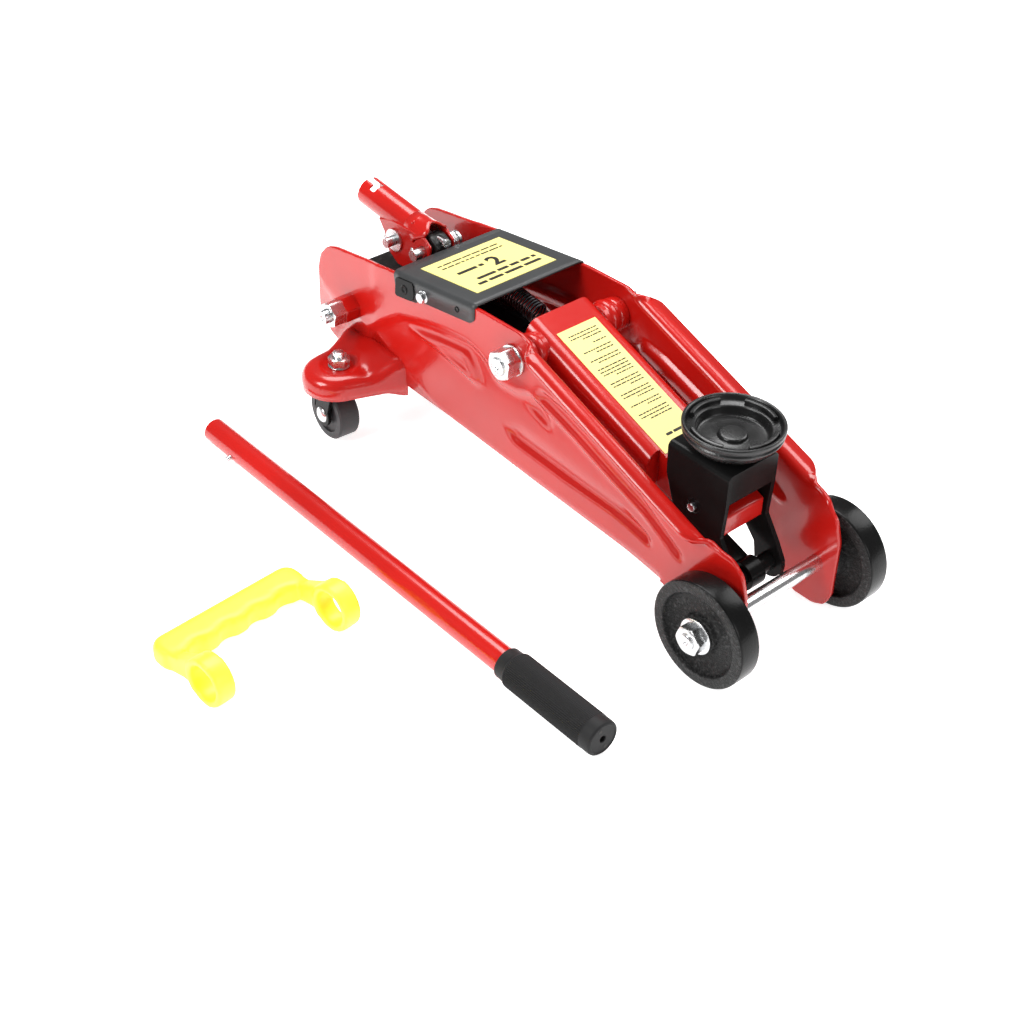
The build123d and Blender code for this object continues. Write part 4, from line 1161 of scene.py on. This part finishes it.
class JACK_OT_grip(bpy.types.Operator):
    """Mould the ribbed grip of the lever, with its collar and end cap"""

    bl_idname = "jack.grip"
    bl_label = "Lever grip"

    def execute(self, context):
        ribs = context.scene.jack_sizes.grip_ribs
        sections = [(0, 10.2, 0), (7.0, 10.4, 0), (7.4, 10.6, 0), (8.0, 11.3, 0), (8.8, 11.55, 0),
                    (9.3, 11.45, 1), (74.5, 11.45, 1), (75.0, 11.6, 0), (81.2, 11.6, 0),
                    (82.6, 11.3, 0), (83.3, 10.5, 0), (83.5, 9.6, 0), (83.1, 9.2, 0),
                    (83.1, 2.6, 0), (82.7, 2.2, 0), (77, 2.1, 0)]
        shape = bmesh.new()
        bmesh.ops.create_circle(shape, segments=ribs * 4, radius=1)
        first = list(shape.verts)
        loops, edges = extrude_rings(shape, list(shape.edges), len(sections) - 1)
        for loop, (along, radius, ribbed) in zip([first] + loops, sections):
            for vert in loop:
                angle = math.atan2(vert.co.y, vert.co.x)
                wave = math.cos(angle * ribs) * 0.3 if ribbed else 0.0
                vert.co = ((radius + wave) * math.cos(angle), along,
                           (radius + wave) * math.sin(angle))
        bmesh.ops.holes_fill(shape, edges=edges, sides=0)
        inner = lathe([(0.0, 8.6), (0.0, 10.2), (1.0, 9.8), (1.0, 8.6)], 0, 48)
        pits = []
        for side in (-1, 1):
            pit = lathe([(82.6, 0), (82.6, 1.3), (83.2, 1.3), (83.2, 0)], 0, 16)
            pits.append(move(pit, (side * 2.2, 0, side * 6.6)))
        turn = LEVER_RUN.to_track_quat("Y", "Z").to_matrix()
        place = LEVER_START + LEVER_RUN * GRIP_START
        as_object("ribbed_grip", move(join(tidy(shape), inner), place, turn), "grip_black",
                  "lever", ("lever_grip",), smooth=25)
        as_object("grip_pits", move(join(*pits), place, turn), "print_black", "lever")
        return {"FINISHED"}


# ---------------------------------------------------------------- softened copies


def soft_copy(name, node, finish, body, voxel, passes):
    """A copy of a node whose edges are worn soft: merged, remeshed evenly, then smoothed."""
    shape = bmesh.new()
    shape.from_mesh(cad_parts[node].data)
    bmesh.ops.remove_doubles(shape, verts=shape.verts, dist=1e-6)
    stand_in = place_object("copy", as_mesh("copy", shape))
    remesh = stand_in.modifiers.new("even", "REMESH")
    remesh.mode = "VOXEL"
    remesh.voxel_size = voxel * MM
    relax = stand_in.modifiers.new("soft", "SMOOTH")
    relax.iterations = passes
    relax.factor = 0.5
    data = worked_out(stand_in)
    data.name = name
    data.materials.clear()
    for face in data.polygons:
        face.material_index = 0
    return finished(name, data, finish, body, (node,), 60)


class JACK_OT_soft_pieces(bpy.types.Operator):
    """Soften the moulded carry handle, the formed socket and the cast pump block"""

    bl_idname = "jack.soft_pieces"
    bl_label = "Softened pieces"

    def execute(self, context):
        soft_copy("moulded_carry_handle", "carry_handle", "carry_yellow", "carry", 1.1, 14)
        soft_copy("formed_socket", "handle_socket", "red_paint", "socket", 0.5, 4)
        soft_copy("cast_pump_block", "pump_block", "cast_block", "chassis", 1.0, 4)
        return {"FINISHED"}


SOCKET_END = Vector((-390.0, 0, 146.0))
SOCKET_TILT = math.radians(7)
SOCKET_RUN = Vector((math.cos(SOCKET_TILT), 0, -math.sin(SOCKET_TILT)))
SOCKET_SHEET = 1.6


class JACK_OT_socket(bpy.types.Operator):
    """Add the flared front edge of the lever socket, its rivet and the split pins"""

    bl_idname = "jack.socket"
    bl_label = "Lever socket"

    def execute(self, context):
        hood = bmesh.new()
        bmesh.ops.create_circle(hood, segments=96, radius=1)
        low = [v for v in hood.verts if v.co.x < -0.25]
        bmesh.ops.delete(hood, geom=low, context="VERTS")
        sections = [(50, 10.45), (56, 10.6), (61, 11.0), (65, 11.7), (68, 12.4)]
        first = list(hood.verts)
        loops = [first] + extrude_rings(hood, list(hood.edges), len(sections) - 1)[0]
        for number, (loop, (along, radius)) in enumerate(zip(loops, sections)):
            for vert in loop:
                angle = math.atan2(vert.co.y, vert.co.x)
                wave = (1.9 - 2.6 * math.cos(4 * angle)) * number / 4
                wave -= 5 * ease((abs(angle) - 1.1) / 0.7) * number / 4
                vert.co = (radius * math.sin(angle), along + wave, radius * math.cos(angle))
        bmesh.ops.recalc_face_normals(hood, faces=hood.faces)
        turn = SOCKET_RUN.to_track_quat("Y", "Z").to_matrix()
        piece = as_object("socket_hood", move(hood, SOCKET_END, turn), "red_paint", "socket",
                          smooth=60)
        make_sheet(piece, SOCKET_SHEET)
        rivet = lathe([(10.0, 0), (10.0, 1.5), (10.9, 1.3), (11.3, 0.7), (11.4, 0)], 0.1, 20)
        bmesh.ops.rotate(rivet, cent=(0, 0, 0), verts=rivet.verts,
                         matrix=Matrix.Rotation(math.radians(130), 3, "X"))
        place = SOCKET_END + SOCKET_RUN * 57
        as_object("socket_rivet", move(rivet, place), "red_paint", "socket")
        clips = []
        for name in ("socket_pivot_pin", "plunger_pin"):
            low, high = node_box(name)
            middle = (low + high) / 2
            for side, y in ((-1, low.y), (1, high.y)):
                ring = coil(Vector((0, -0.4, 0)), Vector((0, 0.4, 0)), 2.3, 0.55, 1)
                leg = rounded_bar(0, 7, 0.55, 0.2, 10)
                bmesh.ops.rotate(leg, cent=(0, 0, 0), verts=leg.verts,
                                 matrix=Matrix.Rotation(math.radians(-80), 3, "X"))
                clip = move(join(ring, leg), turn=Matrix.Rotation(0.5 * side, 3, "Z"))
                clips.append(move(clip, (middle.x - 2, y - side * 1.4, middle.z + 2.2)))
        as_object("split_pins", join(*clips), "zinc", "socket")
        return {"FINISHED"}


# Half sections of the outer and inner collars beside the arm's pivot.
COLLARS = ([(28.1, 6.1), (28.1, 11.0), (30.0, 12.4), (33.5, 12.4), (35.2, 11.0), (35.2, 6.1)],
           [(36.0, 6.1), (36.0, 10.6), (37.2, 11.4), (40.8, 11.4), (42.4, 10.2), (42.4, 6.1)])


class JACK_OT_linkage(bpy.types.Operator):
    """Add the painted collars round the arm pivot and shorten the hidden link pin"""

    bl_idname = "jack.linkage"
    bl_label = "Pivot collars"

    def execute(self, context):
        collars = []
        for _, sign in SIDES:
            collars += [lathe(profile, 0.9, 48, 4, sign) for profile in COLLARS]
        as_object("pivot_collars", move(join(*collars), ARM_PIVOT), "red_paint", "chassis")
        lip = flat_face([(-60, 93.4), (-33, 82.8), (-28, 80.6), (-28, 68), (-30, 66.2), (-60, 69)],
                        2.4, 5)
        slab(lip, (0, 35, 0))
        rims = [e for e in lip.edges if len(e.link_faces) == 2
                and any(len(face.verts) > 8 for face in e.link_faces)]
        bmesh.ops.bevel(lip, geom=rims, offset=2.2, offset_type="OFFSET", segments=4,
                        profile=0.5, affect="EDGES", material=-1)
        as_object("arm_tongue_lip", move(tidy(lip), (0, -17.5, 0)), "red_paint", "arm",
                  smooth=60)
        place = pin_line("bracket_pin")
        as_object("bracket_pivot_pin", move(rounded_bar(-21.9, 21.9, 5, 0.3), place),
                  "black_paint", "saddle_carrier", ("bracket_pin", "bracket_pin_clip"))
        caps = join(rounded_bar(-25.0, -21.5, 2.8, 0.8), rounded_bar(21.5, 25.0, 2.8, 0.8))
        as_object("bracket_pin_caps", move(caps, place), "zinc", "saddle_carrier")
        low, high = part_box("link_pin")
        link = rounded_bar(-40, 40, (high.z - low.z) / MM / 2, 0.5)
        as_object("short_link_pin", move(link, pin_line("link_pin")), "zinc", "chassis",
                  ("link_pin",))
        return {"FINISHED"}


# ---------------------------------------------------------------- carried parts


class JACK_OT_carried(bpy.types.Operator):
    """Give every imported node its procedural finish"""

    bl_idname = "jack.carried"
    bl_label = "Packed nodes"

    def execute(self, context):
        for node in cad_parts.values():
            for slot in node.material_slots:
                slot.material = finish_for(slot.material.name.split(".")[0])
        return {"FINISHED"}


OPERATORS = (JACK_OT_stage, JACK_OT_carried, JACK_OT_side_plates, JACK_OT_wheels,
             JACK_OT_fasteners, JACK_OT_saddle, JACK_OT_springs, JACK_OT_stickers, JACK_OT_cover,
             JACK_OT_castors, JACK_OT_grip, JACK_OT_soft_pieces, JACK_OT_linkage,
             JACK_OT_socket)


class JACK_PT_panel(bpy.types.Panel):
    """Buttons that build the jack, one for each group of pieces"""

    bl_idname = "JACK_PT_panel"
    bl_label = "Trolley Jack"
    bl_space_type = "VIEW_3D"
    bl_region_type = "UI"
    bl_category = "Jack"

    def draw(self, context):
        column = self.layout.column()
        for operator in OPERATORS:
            column.operator(operator.bl_idname)


CLASSES = (JackColours, JackSizes, *OPERATORS, JACK_PT_panel)


def register():
    for item in CLASSES:
        bpy.utils.register_class(item)
    bpy.types.Scene.jack_colours = PointerProperty(type=JackColours)
    bpy.types.Scene.jack_sizes = PointerProperty(type=JackSizes)


def unregister():
    del bpy.types.Scene.jack_sizes
    del bpy.types.Scene.jack_colours
    for item in reversed(CLASSES):
        bpy.utils.unregister_class(item)


def main():
    register()
    for operator in OPERATORS:
        group, name = operator.bl_idname.split(".")
        getattr(getattr(bpy.ops, group), name)()


if __name__ == "__main__":
    main()
